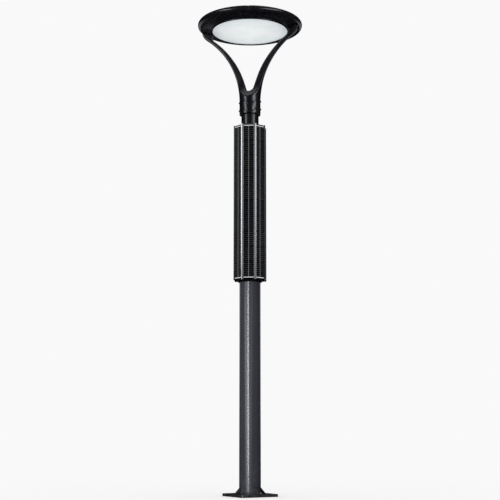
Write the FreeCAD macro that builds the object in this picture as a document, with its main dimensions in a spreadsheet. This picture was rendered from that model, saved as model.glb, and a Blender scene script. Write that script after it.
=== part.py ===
import FreeCAD, Part
import math
import os
import re

import Sketcher
from FreeCAD import Placement, Rotation, Vector

# Solar street lamp: a round LED head on a forked yoke, an eight-sided solar column round a mast,
# and a round pole on a square base plate. Millimetres, +Z up, yoke arms along +X and -X,
# origin at the middle of the base plate's bottom face.

SIZES = {
    # base plate, gussets and pole
    "plate_side": 218.0,
    "plate_thick": 14.0,
    "plate_corner": 9.0,
    "anchor_reach": 122.0,
    "anchor_bore": 9.0,
    "conduit_bore": 32.0,
    "gusset_reach": 33.0,
    "gusset_rise": 34.0,
    "gusset_thick": 6.0,
    "gusset_toe": 5.0,
    "pole_radius": 57.0,
    "pole_wall": 4.0,
    "pole_tail": 90.0,
    # battery and controller in the pole
    "shelf_level": 40.0,
    "shelf_thick": 5.0,
    "shelf_bore": 22.0,
    "cell_radius": 16.1,
    "cell_length": 70.5,
    "cell_gap": 0.6,
    "spacer_play": 0.4,
    "spacer_thick": 3.0,
    "case_wall": 2.0,
    "case_play": 1.0,
    "case_lid_lip": 4.0,
    "case_lid_play": 0.2,
    "board_play": 2.0,
    "board_thick": 1.6,
    "board_space": 12.0,
    "controller_wide": 58.0,
    "controller_deep": 34.0,
    "controller_tall": 128.0,
    "cooling_slot": 4.0,
    "cooling_slot_deep": 6.0,
    "bracket_thick": 3.0,
    "cable_radius": 4.5,
    "cable_gap": 6.0,
    # mast that carries the column and the head
    "ring_wall": 5.5,
    "mast_wall": 3.0,
    "mast_tail": 250.0,
    "ring_tall": 30.0,
    "ring_lift": 8.0,
    "mast_bolt": 4.0,
    "mast_bolt_end": 2.0,
    "bolt_head": 6.5,
    "bolt_head_tall": 4.5,
    "neck_length": 68.0,
    # solar column
    "column_bottom": 1136.0,
    "column_length": 852.0,
    "column_turn": 10.0,
    "column_flat": 86.1,
    "rail_lip": 8.0,
    "rail_thick": 2.0,
    "rail_web": 3.0,
    "panel_play": 0.1,
    "panel_thick": 4.5,
    "panel_wide": 62.0,
    "panel_inset": 5.0,
    "carrier_wall": 2.5,
    "cap_inset": 0.2,
    "cap_lip": 9.0,
    "cap_lip_wall": 8.0,
    "cap_lip_edge": 2.0,
    "cap_lip_turn": 50.0,
    "spigot_deep": 14.0,
    "spigot_wall": 3.0,
    "spigot_play": 0.3,
    "seal_wall": 3.0,
    "seal_tall": 6.0,
    "box_wide": 24.0,
    "box_deep": 11.0,
    "box_tall": 40.0,
    "box_lift": 40.0,
    # yoke: heights are above the bottom edge of its collar
    "collar_wall": 10.5,
    "collar_chamfer": 1.2,
    "socket_deep": 104.0,
    "socket_play": 0.08,
    "socket_chamfer": 1.0,
    "mast_top_gap": 3.0,
    "flare_start": 75.0,
    "flare_turn": 54.3,
    "shoulder_turn": 54.3,
    "shoulder_level": 46.5,
    "shoulder_drop": 29.6,
    "shoulder_reach": 15.1,
    "foot_long": 48.0,
    "foot_play": 1.5,
    "saddle_rise": 132.0,
    "saddle_radius": 24.0,
    "saddle_splay": 12.0,
    "inner_turn": 40.0,
    "knee_turn": 51.8,
    "knee_reach": 10.0,
    "knee_drop": 20.4,
    "knee_level": 54.5,
    "waist_start": 95.0,
    "waist_clear": 2.0,
    "waist_end": 210.0,
    "waist_turn": 43.6,
    "arm_half_wide": 13.5,
    "arm_tip_half_wide": 12.0,
    "groove_deep": 0.8,
    "groove_tall": 1.6,
    "groove_low": 17.0,
    "groove_high": 67.0,
    "screw_side_low": 28.5,
    "screw_side_high": 73.0,
    "screw_face_low": 14.0,
    "screw_face_high": 54.0,
    "screw_radius": 4.0,
    "screw_head": 5.0,
    "screw_head_tall": 5.0,
    # head: heights are from the middle of the rim, unless they are thicknesses
    "head_rise": 513.0,
    "nose_reach": 273.5,
    "nose_radius": 16.5,
    "shell_wall": 3.5,
    "split_level": 3.0,
    "under_drop": 14.0,
    "bezel_radius": 216.0,
    "bezel_wall": 4.5,
    "bezel_lip": 3.5,
    "bezel_proud": 4.0,
    "bezel_gap": 0.5,
    "bezel_round": 1.0,
    "lens_recess": 2.0,
    "lens_play": 0.4,
    "lens_thick": 4.0,
    "lens_gasket_thick": 2.0,
    "lens_seat_wide": 16.0,
    "light_box_wall": 4.0,
    "light_box_tall": 14.5,
    "boss_half_wide": 14.0,
    "boss_level": 13.0,
    "boss_sink": 1.5,
    "boss_inset": 1.0,
    "foot_bolt": 3.0,
    "foot_bolt_head": 5.0,
    "foot_bolt_head_tall": 5.0,
    "foot_bolt_deep": 22.0,
    "foot_bolt_pitch": 32.0,
    "gland_radius": 6.0,
    "gland_bore": 4.0,
    "gland_wall": 1.5,
    "gland_tall": 14.0,
    "floor_thick": 3.0,
    "floor_step": 6.0,
    "web_drop": 4.0,
    "web_sink": 0.6,
    "seal_groove": 1.5,
    "seal_wide": 1.6,
    "seal_proud": 0.6,
    "seal_shift": 0.3,
    "lid_clearance": 0.3,
    "dome_rise": 35.5,
    "sink_plate": 3.0,
    "sink_edge": 8.0,
    "fin_tall": 12.0,
    "fin_thick": 2.5,
    "fin_inner": 100.0,
    "fin_edge": 4.0,
    "led_board_thick": 1.6,
    "led_board_edge": 9.0,
    "led_side": 5.0,
    "led_thick": 1.0,
    "reflector_wall": 1.0,
    "liner_gap": 1.0,
    "driver_long": 140.0,
    "driver_wide": 76.0,
    "driver_tall": 30.0,
    # lid hinge and latch
    "latch_turn": -77.5,
    "hinge_offset": 8.0,
    "knuckle_radius": 6.0,
    "knuckle_wide": 30.0,
    "knuckle_sink": 3.0,
    "ear_wide": 12.0,
    "ear_gap": 0.4,
    "hinge_pin": 2.5,
    "pin_play": 0.05,
    "latch_wide": 14.6,
    "latch_side_gap": 0.4,
    "latch_cheek": 3.0,
    "cheek_inset": 1.0,
    "cheek_drop": 3.0,
    "scoop_reach": 248.0,
    "scoop_level": 11.5,
    "latch_pivot_reach": 283.0,
    "latch_pivot_level": 7.0,
    "latch_hub": 3.2,
    "latch_pin": 1.5,
    "latch_tip_reach": 0.2,
    "latch_depth": 5.0,
    "latch_proud": 1.0,
    "latch_nose_gap": 0.6,
    "latch_back_wall": 0.8,
    "latch_back_gap": 0.8,
    "latch_hook_tall": 2.5,
    "latch_stem_edge": 0.6,
    "spring_thick": 0.5,
    "spring_wide": 6.0,
    "spring_reach": 7.0,
    "spring_drop": 2.0,
    "keeper_gap": 0.3,
    "keeper_tall": 3.0,
    "keeper_inset": 1.0,
    # how far a cut runs past what it cuts
    "overrun": 1.0,
    "cut_margin": 20.0,
}

PANEL_COUNT = 8
FACE_STEP = 360 // PANEL_COUNT
CELL_LAYERS = 6
CELLS_PER_LAYER = 4
FIN_COUNT = 24
SLOT_COUNT = 5
CORNER_COUNT = 4
DRIVER_CORNER = 4.0
CHIP_COUNT = 3
CHIP_LONG = 12
CHIP_WIDE = 9
CHIP_TALL = 5
CHIP_STEP = 18
CHIP_STAGGER = 6
LED_RINGS = ((10, 0.22), (18, 0.42), (26, 0.62), (34, 0.82))

DOC = FreeCAD.newDocument("SolarStreetLamp")
SHEET = DOC.addObject("Spreadsheet::Sheet", "Sizes")
WORDS = re.compile(r"\b(" + "|".join(sorted(SIZES, key=len, reverse=True)) + r")\b")
NODES = []


def fill_sheet():
    """Writes every driving size to the sheet, one row each, with its alias."""
    for row, (alias, number) in enumerate(SIZES.items(), start=1):
        SHEET.set(f"A{row}", alias)
        SHEET.set(f"B{row}", str(number))
        SHEET.setAlias(f"B{row}", alias)
    DOC.recompute()


fill_sheet()


# ---------------------------------------------------------------- expressions

def expr(text):
    """The expression with each size's name pointing at the sheet."""
    return WORDS.sub(r"Sizes.\1", str(text))


def value(text):
    """What an expression is worth now."""
    return float(SHEET.evalExpression(expr(text)))


def bind(thing, prop, text):
    thing.setExpression(prop, expr(text))


def bow(x0, y0, x1, y1, turn):
    """Radius of the arc between two points that turns by an angle."""
    return f"sqrt((({x1})-({x0}))^2 + (({y1})-({y0}))^2) / (2 * sin(({turn}) / 2))"


# ---------------------------------------------------------------- levels and shared sizes

COLUMN_TOP = "(column_bottom + column_length)"
COLLAR_LEVEL = f"({COLUMN_TOP} + neck_length)"
HEAD_LEVEL = f"({COLLAR_LEVEL} + head_rise)"
POLE_TOP = "(column_bottom + pole_tail)"
POLE_BORE = "(pole_radius - pole_wall)"
MAST_RADIUS = f"({POLE_BORE} - ring_wall)"
COLLAR_RADIUS = f"({MAST_RADIUS} + collar_wall)"
MAST_BOTTOM = f"({POLE_TOP} - mast_tail)"
MAST_TOP = f"({COLLAR_LEVEL} + socket_deep - mast_top_gap)"
MAST_BOLT_LEVEL = f"({POLE_TOP} - ring_tall)"

PANEL_FACE = "(column_flat - rail_thick - panel_play)"
CARRIER_FLAT = f"({PANEL_FACE} - panel_thick)"
CARRIER_BORE = f"({CARRIER_FLAT} - carrier_wall)"
HALF_FACE = FACE_STEP / 2
COS_FACE = f"cos({HALF_FACE})"
SIN_FACE = f"sin({HALF_FACE})"

BATTERY_FLOOR = "(shelf_level + shelf_thick)"
CELL_CIRCLE = f"((cell_radius + cell_gap / 2) / sin({180 / CELLS_PER_LAYER}))"
CASE_BORE = f"({CELL_CIRCLE} + cell_radius + case_play)"
CELL_PITCH = "(cell_length + spacer_thick)"
STACK_FLOOR = f"({BATTERY_FLOOR} + case_wall)"
STACK_TOP = f"({STACK_FLOOR} + {CELL_LAYERS} * {CELL_PITCH} + spacer_thick)"
CASE_TOP = f"({STACK_TOP} + board_thick + board_space)"
CASE_LID_TOP = f"({CASE_TOP} + case_wall)"

LIGHT_BOX = "(bezel_radius - lens_seat_wide)"
BEZEL_SEAT = "(bezel_radius + bezel_gap)"
FOOT_INNER = f"({BEZEL_SEAT} + foot_play)"
FOOT_OUTER = f"({FOOT_INNER} + foot_long)"
NOSE_BORE = "(nose_radius - shell_wall)"
UNDER_SLOPE = f"(under_drop / (nose_reach - {BEZEL_SEAT}))"
BEZEL_LEVEL = "(-nose_radius - under_drop)"
BEZEL_FACE = f"({BEZEL_LEVEL} - bezel_proud)"
LENS_FACE = f"({BEZEL_FACE} + lens_recess)"
LENS_TOP = f"({LENS_FACE} + lens_thick)"
LENS_SEAT = f"({LENS_TOP} + lens_gasket_thick)"
BEZEL_BORE = "(bezel_radius - bezel_wall)"
LENS_RADIUS = f"({BEZEL_BORE} - lens_play)"
BOX_TOP = f"({LENS_SEAT} + light_box_tall)"
LID_SEAT = "(split_level + seal_proud + lid_clearance)"
SINK_RADIUS = f"({LIGHT_BOX} + light_box_wall + sink_edge)"
SINK_TOP = f"({BOX_TOP} + sink_plate)"
HINGE_REACH = "(nose_reach + nose_radius + hinge_offset)"
HINGE_LEVEL = LID_SEAT
LED_BOARD_RADIUS = f"({LIGHT_BOX} - led_board_edge)"
LATCH_TIP = "(latch_pivot_reach + latch_tip_reach)"
LEVER_BACK = "(latch_pivot_reach - latch_hub - latch_back_wall)"
LATCH_BACK = f"({LEVER_BACK} - latch_back_gap)"
KEEPER_TOP = "(split_level - seal_groove - keeper_gap)"
SEAL_REACH = f"(nose_reach + (nose_radius + {NOSE_BORE}) / 2 - seal_wide / 2 - seal_shift)"


def under_level(reach):
    """Height of the head's sloping underside at a distance from the axis."""
    return f"(-nose_radius - (nose_reach - ({reach})) * {UNDER_SLOPE})"


def on_nose(radius, level):
    """Distance from the axis of the rim's rounded nose at a height."""
    return f"(nose_reach + sqrt(({radius})^2 - ({level})^2))"


# ---------------------------------------------------------------- sketches

def pin_point(sketch, geo, pos, x, y):
    """Fixes a sketch point at (x, y), each bound to its expression."""
    for kind, text, axis in (("DistanceX", x, -2), ("DistanceY", y, -1)):
        if str(text) == "0":
            sketch.addConstraint(Sketcher.Constraint("PointOnObject", geo, pos, axis))
            continue
        row = sketch.addConstraint(Sketcher.Constraint(kind, -1, 1, geo, pos, value(text)))
        bind(sketch, f"Constraints[{row}]", text)


def arc_between(start, end, side, radius):
    """The short arc from start to end, its centre to the left (1) or right (-1) of the way."""
    along = end - start
    half = along.Length / 2
    offset = math.sqrt(max(radius * radius - half * half, 0.0))
    left = Vector(-along.y, along.x, 0).normalize()
    centre = (start + end) / 2 + left * offset * side
    first, last = (start, end) if side > 0 else (end, start)
    angles = [math.atan2(p.y - centre.y, p.x - centre.x) for p in (first, last)]
    circle = Part.Circle(centre, Vector(0, 0, 1), radius)
    return Part.ArcOfCircle(circle, angles[0], angles[1])


def loop(sketch, corners):
    """A closed outline. A corner is (x, y), or (x, y, side, radius) where an arc arrives at it."""
    spots = [Vector(value(corner[0]), value(corner[1]), 0) for corner in corners]
    edges = []
    for i, corner in enumerate(corners):
        if len(corner) == 4:
            side = corner[2]
            geo = sketch.addGeometry(arc_between(spots[i - 1], spots[i], side, value(corner[3])))
            row = sketch.addConstraint(Sketcher.Constraint("Radius", geo, value(corner[3])))
            bind(sketch, f"Constraints[{row}]", corner[3])
            edges.append((geo, 1, 2) if side > 0 else (geo, 2, 1))
        else:
            geo = sketch.addGeometry(Part.LineSegment(spots[i - 1], spots[i]))
            edges.append((geo, 1, 2))
    for i, corner in enumerate(corners):
        geo, _, end = edges[i]
        after, start, _ = edges[(i + 1) % len(edges)]
        sketch.addConstraint(Sketcher.Constraint("Coincident", geo, end, after, start))
        pin_point(sketch, geo, end, corner[0], corner[1])


def disc(sketch, radius, x="0", y="0"):
    """A circle in a sketch."""
    centre = Vector(value(x), value(y), 0)
    geo = sketch.addGeometry(Part.Circle(centre, Vector(0, 0, 1), value(radius)))
    row = sketch.addConstraint(Sketcher.Constraint("Radius", geo, value(radius)))
    bind(sketch, f"Constraints[{row}]", radius)
    if str(x) == "0" and str(y) == "0":
        sketch.addConstraint(Sketcher.Constraint("Coincident", geo, 3, -1, 1))
    else:
        pin_point(sketch, geo, 3, x, y)


def rectangle(sketch, x0, y0, x1, y1):
    loop(sketch, [(x0, y0), (x1, y0), (x1, y1), (x0, y1)])


def octagon(sketch, flat):
    """A regular eight-sided outline with its flats at a distance from the axis, one facing -Y."""
    corners = []
    for i in range(PANEL_COUNT):
        angle = FACE_STEP * i + HALF_FACE
        corners.append((f"({flat}) / {COS_FACE} * cos({angle})",
                        f"({flat}) / {COS_FACE} * sin({angle})"))
    loop(sketch, corners)


# ---------------------------------------------------------------- bodies and features

def body(label):
    """A new sub-part, whose label is its node's name."""
    made = DOC.addObject("PartDesign::Body", label)
    made.Label = label
    NODES.append(made)
    return made


def place(thing, x="0", y="0", z="0", turn="0"):
    """Sets a sub-part's place, each coordinate bound to the sheet."""
    for axis, text in (("x", x), ("y", y), ("z", z)):
        if str(text) != "0":
            bind(thing, f"Placement.Base.{axis}", text)
    if str(turn) != "0":
        bind(thing, "Placement.Rotation.Angle", turn)
    return thing


def sketch_on(owner, role, lift="0", turn="0"):
    """A sketch on one of the body's own origin planes, lifted along its normal or turned."""
    plane = next(p for p in owner.Origin.OriginFeatures if p.Role == role)
    sketch = owner.newObject("Sketcher::SketchObject", f"{owner.Name}_outline")
    sketch.AttachmentSupport = [(plane, "")]
    sketch.MapMode = "FlatFace"
    if str(lift) != "0":
        bind(sketch, "AttachmentOffset.Base.z", lift)
    if str(turn) != "0":
        sketch.AttachmentOffset = Placement(Vector(), Rotation(Vector(0, 1, 0), value(turn)))
        bind(sketch, "AttachmentOffset.Rotation.Angle", turn)
    return sketch


def feature(owner, kind, sketch):
    made = owner.newObject(f"PartDesign::{kind}", f"{owner.Name}_{kind.lower()}")
    made.Profile = sketch
    sketch.Visibility = False
    return made


def pad(owner, sketch, length, both_ways=False, reverse=False):
    made = feature(owner, "Pad", sketch)
    bind(made, "Length", length)
    made.Midplane = both_ways
    made.Reversed = reverse
    DOC.recompute()
    return made


def pocket(owner, sketch, length, both_ways=False, reverse=False):
    """A cut that must take something away."""
    before = owner.Shape.Volume
    made = feature(owner, "Pocket", sketch)
    bind(made, "Length", length)
    made.Midplane = both_ways
    made.Reversed = reverse
    DOC.recompute()
    if not owner.Shape.Volume < before - 1e-6:
        raise RuntimeError(f"{made.Name} cuts nothing")
    return made


def turned(owner, corners, groove=False):
    """A solid of revolution round Z, or a groove, from an outline in the XZ plane."""
    sketch = sketch_on(owner, "XZ_Plane")
    loop(sketch, corners)
    made = feature(owner, "Groove" if groove else "Revolution", sketch)
    made.ReferenceAxis = (sketch, ["V_Axis"])
    made.Angle = 360
    DOC.recompute()
    return made


def repeat(owner, original, count):
    """Repeats a feature round Z and makes the row the body's tip."""
    made = owner.newObject("PartDesign::PolarPattern", f"{owner.Name}_row")
    made.Originals = [original]
    axis = next(p for p in owner.Origin.OriginFeatures if p.Role == "Z_Axis")
    made.Axis = (axis, [""])
    made.Angle = 360
    made.Occurrences = count
    owner.Tip = made
    DOC.recompute()
    return made


def tube(label, outer, inner, bottom, top):
    """A round tube standing on a level."""
    made = body(label)
    sketch = sketch_on(made, "XY_Plane")
    disc(sketch, outer)
    disc(sketch, inner)
    pad(made, sketch, f"({top}) - ({bottom})")
    return place(made, z=bottom)


def side_holes(owner, radius, level, reach, count):
    """Round holes through a tube's wall, on a level above the body's own origin."""
    sketch = sketch_on(owner, "YZ_Plane")
    disc(sketch, radius, "0", level)
    repeat(owner, pocket(owner, sketch, reach, reverse=True), count)


# ---------------------------------------------------------------- Part primitives

def cylinder(name, radius, tall, x="0", y="0", z="0", way=Vector(0, 0, 1)):
    made = DOC.addObject("Part::Cylinder", name)
    bind(made, "Radius", radius)
    bind(made, "Height", tall)
    made.Placement = Placement(Vector(), Rotation(Vector(0, 0, 1), way))
    return place(made, x, y, z)


def block(name, long, wide, tall, x="0", y="0", z="0", turn="0"):
    made = DOC.addObject("Part::Box", name)
    bind(made, "Length", long)
    bind(made, "Width", wide)
    bind(made, "Height", tall)
    return place(made, x, y, z, turn)


def combine(kind, label, pieces, node=True):
    """A boolean, or a group of separate solids, made of Part objects."""
    made = DOC.addObject(f"Part::{kind}", label)
    made.Label = label
    if kind == "Compound":
        made.Links = pieces
    elif kind == "Cut":
        made.Base, made.Tool = pieces
    else:
        made.Shapes = pieces
    if node:
        NODES.append(made)
    return made


def radial_bolts(label, shank, head, head_tall, reach, inner, rows):
    """Bolts that point at the axis. A row is (height, list of directions in degrees)."""
    solids = []
    for row, (level, angles) in enumerate(rows):
        for angle in angles:
            way = Vector(math.cos(math.radians(angle)), math.sin(math.radians(angle)), 0)
            tag = f"{label}_{row}_{angle}"
            stem = cylinder(f"{tag}_shank", shank, f"({reach}) - ({inner})", f"({inner}) * cos({angle})",
                            f"({inner}) * sin({angle})", level, way)
            cap = cylinder(f"{tag}_head", head, head_tall, f"({reach}) * cos({angle})",
                           f"({reach}) * sin({angle})", level, way)
            solids.append(combine("MultiFuse", f"{tag}_solid", [stem, cap], node=False))
    return combine("Compound", label, solids)


# ---------------------------------------------------------------- base and pole

def make_base_plate():
    plate = body("base_plate")
    sketch = sketch_on(plate, "XY_Plane")
    rectangle(sketch, "-plate_side / 2", "-plate_side / 2", "plate_side / 2", "plate_side / 2")
    slab = pad(plate, sketch, "plate_thick")
    rounded = plate.newObject("PartDesign::Fillet", "plate_corners")
    upright = [f"Edge{i + 1}" for i, edge in enumerate(slab.Shape.Edges)
               if abs(edge.Vertexes[0].Z - edge.Vertexes[1].Z) > 1]
    rounded.Base = (slab, upright)
    bind(rounded, "Radius", "plate_corner")
    DOC.recompute()
    centre = sketch_on(plate, "XY_Plane")
    disc(centre, "conduit_bore")
    pocket(plate, centre, "plate_thick", reverse=True)
    corner = sketch_on(plate, "XY_Plane")
    disc(corner, "anchor_bore", "anchor_reach * cos(45)", "anchor_reach * sin(45)")
    repeat(plate, pocket(plate, corner, "plate_thick", reverse=True), CORNER_COUNT)
    place(plate, turn="45")


def make_gussets():
    gussets = body("base_gussets")
    sketch = sketch_on(gussets, "XZ_Plane")
    loop(sketch, [
        ("pole_radius", "0"),
        ("pole_radius + gusset_reach", "0"),
        ("pole_radius + gusset_reach", "gusset_toe"),
        ("pole_radius + gusset_toe", "gusset_rise"),
        ("pole_radius", "gusset_rise"),
    ])
    repeat(gussets, pad(gussets, sketch, "gusset_thick", both_ways=True), CORNER_COUNT)
    place(gussets, z="plate_thick", turn="45")


def make_pole():
    pole = tube("pole_tube", "pole_radius", POLE_BORE, "plate_thick", POLE_TOP)
    side_holes(pole, "mast_bolt", f"{MAST_BOLT_LEVEL} - plate_thick", "pole_radius + overrun", CORNER_COUNT)


def make_battery():
    tube("battery_shelf", POLE_BORE, "shelf_bore", "shelf_level", BATTERY_FLOOR)
    case = body("battery_case")
    turned(case, [
        ("0", BATTERY_FLOOR),
        (f"{CASE_BORE} + case_wall", BATTERY_FLOOR),
        (f"{CASE_BORE} + case_wall", CASE_TOP),
        (CASE_BORE, CASE_TOP),
        (CASE_BORE, STACK_FLOOR),
        ("0", STACK_FLOOR),
    ])
    lid = body("battery_case_lid")
    turned(lid, [
        ("cable_radius", f"{CASE_TOP} - case_lid_lip"),
        (f"{CASE_BORE} - case_lid_play", f"{CASE_TOP} - case_lid_lip"),
        (f"{CASE_BORE} - case_lid_play", CASE_TOP),
        (f"{CASE_BORE} + case_wall", CASE_TOP),
        (f"{CASE_BORE} + case_wall", CASE_LID_TOP),
        ("cable_radius", CASE_LID_TOP),
    ])
    cells = []
    spacers = []
    for layer in range(CELL_LAYERS + 1):
        level = f"{STACK_FLOOR} + {layer} * {CELL_PITCH}"
        spacers.append(cylinder(f"spacer_{layer}", f"{CASE_BORE} - spacer_play", "spacer_thick", z=level))
        if layer == CELL_LAYERS:
            break
        for i in range(CELLS_PER_LAYER):
            angle = 360 / CELLS_PER_LAYER * i + 45
            cells.append(cylinder(f"cell_{layer}_{i}", "cell_radius", "cell_length",
                                  f"{CELL_CIRCLE} * cos({angle})", f"{CELL_CIRCLE} * sin({angle})",
                                  f"{level} + spacer_thick"))
    combine("Compound", "battery_cells", cells)
    combine("Compound", "cell_spacers", spacers)
    board = cylinder("board_disc", f"{CASE_BORE} - board_play", "board_thick", z=STACK_TOP)
    chips = []
    for i in range(CHIP_COUNT):
        x = CHIP_STEP * (i - 1) - CHIP_LONG / 2
        y = CHIP_STAGGER * (i % 2) - CHIP_WIDE / 2
        chips.append(block(f"board_chip_{i}", CHIP_LONG, CHIP_WIDE, CHIP_TALL, x, y,
                           f"{STACK_TOP} + board_thick"))
    combine("MultiFuse", "battery_board", [board] + chips)


def make_controller():
    floor = CASE_LID_TOP
    disc_plate = cylinder("bracket_disc", f"{CASE_BORE} - board_play", "bracket_thick", z=floor)
    upright = block("bracket_plate", "controller_wide", "bracket_thick",
                    "controller_tall + 2 * bracket_thick", x="-controller_wide / 2",
                    y="controller_deep / 2", z=floor)
    combine("MultiFuse", "controller_bracket", [disc_plate, upright])
    unit = body("charge_controller")
    sketch = sketch_on(unit, "XY_Plane")
    rectangle(sketch, "-controller_wide / 2", "-controller_deep / 2",
              "controller_wide / 2", "controller_deep / 2")
    pad(unit, sketch, "controller_tall")
    slot = sketch_on(unit, "XY_Plane")
    for i in range(SLOT_COUNT):
        x = f"-controller_wide / 2 + controller_wide * {i + 1} / {SLOT_COUNT + 1}"
        rectangle(slot, f"{x} - cooling_slot / 2", "-controller_deep / 2",
                  f"{x} + cooling_slot / 2", "-controller_deep / 2 + cooling_slot_deep")
    pocket(unit, slot, "controller_tall", reverse=True)
    place(unit, z=f"{floor} + 2 * bracket_thick")
    unit_top = f"{floor} + 2 * bracket_thick + controller_tall"
    cable = cylinder("mast_cable", "cable_radius", f"{MAST_TOP} - cable_gap - ({unit_top})", z=unit_top)
    NODES.append(cable)


# ---------------------------------------------------------------- mast

def make_mast():
    mast = tube("mast_tube", MAST_RADIUS, f"{MAST_RADIUS} - mast_wall", MAST_BOTTOM, MAST_TOP)
    side_holes(mast, "mast_bolt", f"{MAST_BOLT_LEVEL} - {MAST_BOTTOM}", f"{MAST_RADIUS} + overrun",
               CORNER_COUNT)
    upper = tube("mast_ring_upper", POLE_BORE, MAST_RADIUS,
                 f"{MAST_BOLT_LEVEL} - ring_tall / 2", f"{MAST_BOLT_LEVEL} + ring_tall / 2")
    side_holes(upper, "mast_bolt", "ring_tall / 2", f"{POLE_BORE} + overrun", CORNER_COUNT)
    tube("mast_ring_lower", POLE_BORE, MAST_RADIUS, f"{MAST_BOTTOM} + ring_lift",
         f"{MAST_BOTTOM} + ring_lift + ring_tall")
    radial_bolts("mast_bolts", "mast_bolt", "bolt_head", "bolt_head_tall", "pole_radius",
                 f"{MAST_RADIUS} - mast_wall - mast_bolt_end", [(MAST_BOLT_LEVEL, (0, 90, 180, 270))])


# ---------------------------------------------------------------- solar column

def make_carrier():
    carrier = body("column_carrier")
    sketch = sketch_on(carrier, "XY_Plane")
    octagon(sketch, CARRIER_FLAT)
    octagon(sketch, CARRIER_BORE)
    pad(carrier, sketch, "column_length - 2 * panel_inset")
    place(carrier, z="column_bottom + panel_inset", turn="column_turn")


def make_panel(number):
    """One laminate, flat against a side of the carrier."""
    panel = body(f"solar_panel_{number + 1}")
    sketch = sketch_on(panel, "XY_Plane")
    rectangle(sketch, CARRIER_FLAT, "-panel_wide / 2", PANEL_FACE, "panel_wide / 2")
    pad(panel, sketch, "column_length - 2 * panel_inset")
    place(panel, z="column_bottom + panel_inset", turn=f"column_turn - 90 + {FACE_STEP * number}")


def make_rail(number):
    """A corner rail: two lips over the panels' edges, and a web between the panels."""
    rail = body(f"corner_rail_{number + 1}")
    lip_inner = "(column_flat - rail_thick)"
    half_web = "(rail_web / 2)"
    tip = (f"column_flat / {COS_FACE} - rail_lip * {SIN_FACE}", f"rail_lip * {COS_FACE}")
    tip_inner = (f"{tip[0]} - rail_thick * {COS_FACE}", f"{tip[1]} - rail_thick * {SIN_FACE}")
    root = (f"({lip_inner} - {half_web} * {SIN_FACE}) / {COS_FACE}", half_web)
    foot = (f"({CARRIER_FLAT} - {half_web} * {SIN_FACE}) / {COS_FACE}", half_web)
    upper = [tip, tip_inner, root, foot]
    lower = [(x, f"-({y})") for x, y in reversed(upper)]
    sketch = sketch_on(rail, "XY_Plane")
    loop(sketch, [(f"column_flat / {COS_FACE}", "0")] + upper
         + [(f"{CARRIER_FLAT} / {COS_FACE}", "0")] + lower)
    pad(rail, sketch, "column_length")
    turn = f"column_turn - 90 + {HALF_FACE + FACE_STEP * number}"
    place(rail, z="column_bottom", turn=turn)


def make_column_cap(label, bore, seal_label, level, way):
    """An end cap: a plate on the carrier's end, a spigot inside it and a lip round the tube.
    It faces up (way 1) or down (way -1)."""
    down = way < 0
    cap = body(label)
    plate = sketch_on(cap, "XY_Plane")
    octagon(plate, f"{CARRIER_FLAT} - cap_inset")
    disc(plate, f"{bore} + seal_wall")
    pad(cap, plate, "panel_inset", reverse=down)
    spigot = sketch_on(cap, "XY_Plane")
    octagon(spigot, f"{CARRIER_BORE} - spigot_play")
    octagon(spigot, f"{CARRIER_BORE} - spigot_play - spigot_wall")
    pad(cap, spigot, "spigot_deep", reverse=not down)
    lip_inner = f"{bore} + seal_wall"
    foot = (f"{lip_inner} + cap_lip_wall", f"{way} * panel_inset")
    crest = (f"{lip_inner} + cap_lip_edge", f"{way} * (panel_inset + cap_lip)")
    turned(cap, [
        (lip_inner, foot[1]),
        foot,
        (*crest, way, bow(*foot, *crest, "cap_lip_turn")),
        (lip_inner, crest[1]),
    ])
    seal = body(seal_label)
    turned(seal, [
        (bore, "0"),
        (lip_inner, "0"),
        (lip_inner, f"{way} * seal_tall"),
        (bore, f"{way} * seal_tall"),
    ])
    for piece in (cap, seal):
        place(piece, z=level, turn="column_turn")


def make_column():
    make_carrier()
    for number in range(PANEL_COUNT):
        make_panel(number)
        make_rail(number)
    make_column_cap("column_top_cap", MAST_RADIUS, "neck_seal", f"{COLUMN_TOP} - panel_inset", 1)
    make_column_cap("column_bottom_cap", "pole_radius", "pole_seal", "column_bottom + panel_inset", -1)
    boxes = body("junction_boxes")
    sketch = sketch_on(boxes, "XY_Plane")
    rectangle(sketch, f"{CARRIER_BORE} - box_deep", "-box_wide / 2", CARRIER_BORE, "box_wide / 2")
    repeat(boxes, pad(boxes, sketch, "box_tall"), PANEL_COUNT)
    place(boxes, z="column_bottom + panel_inset + spigot_deep + box_lift", turn="column_turn - 90")


# ---------------------------------------------------------------- yoke

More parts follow.
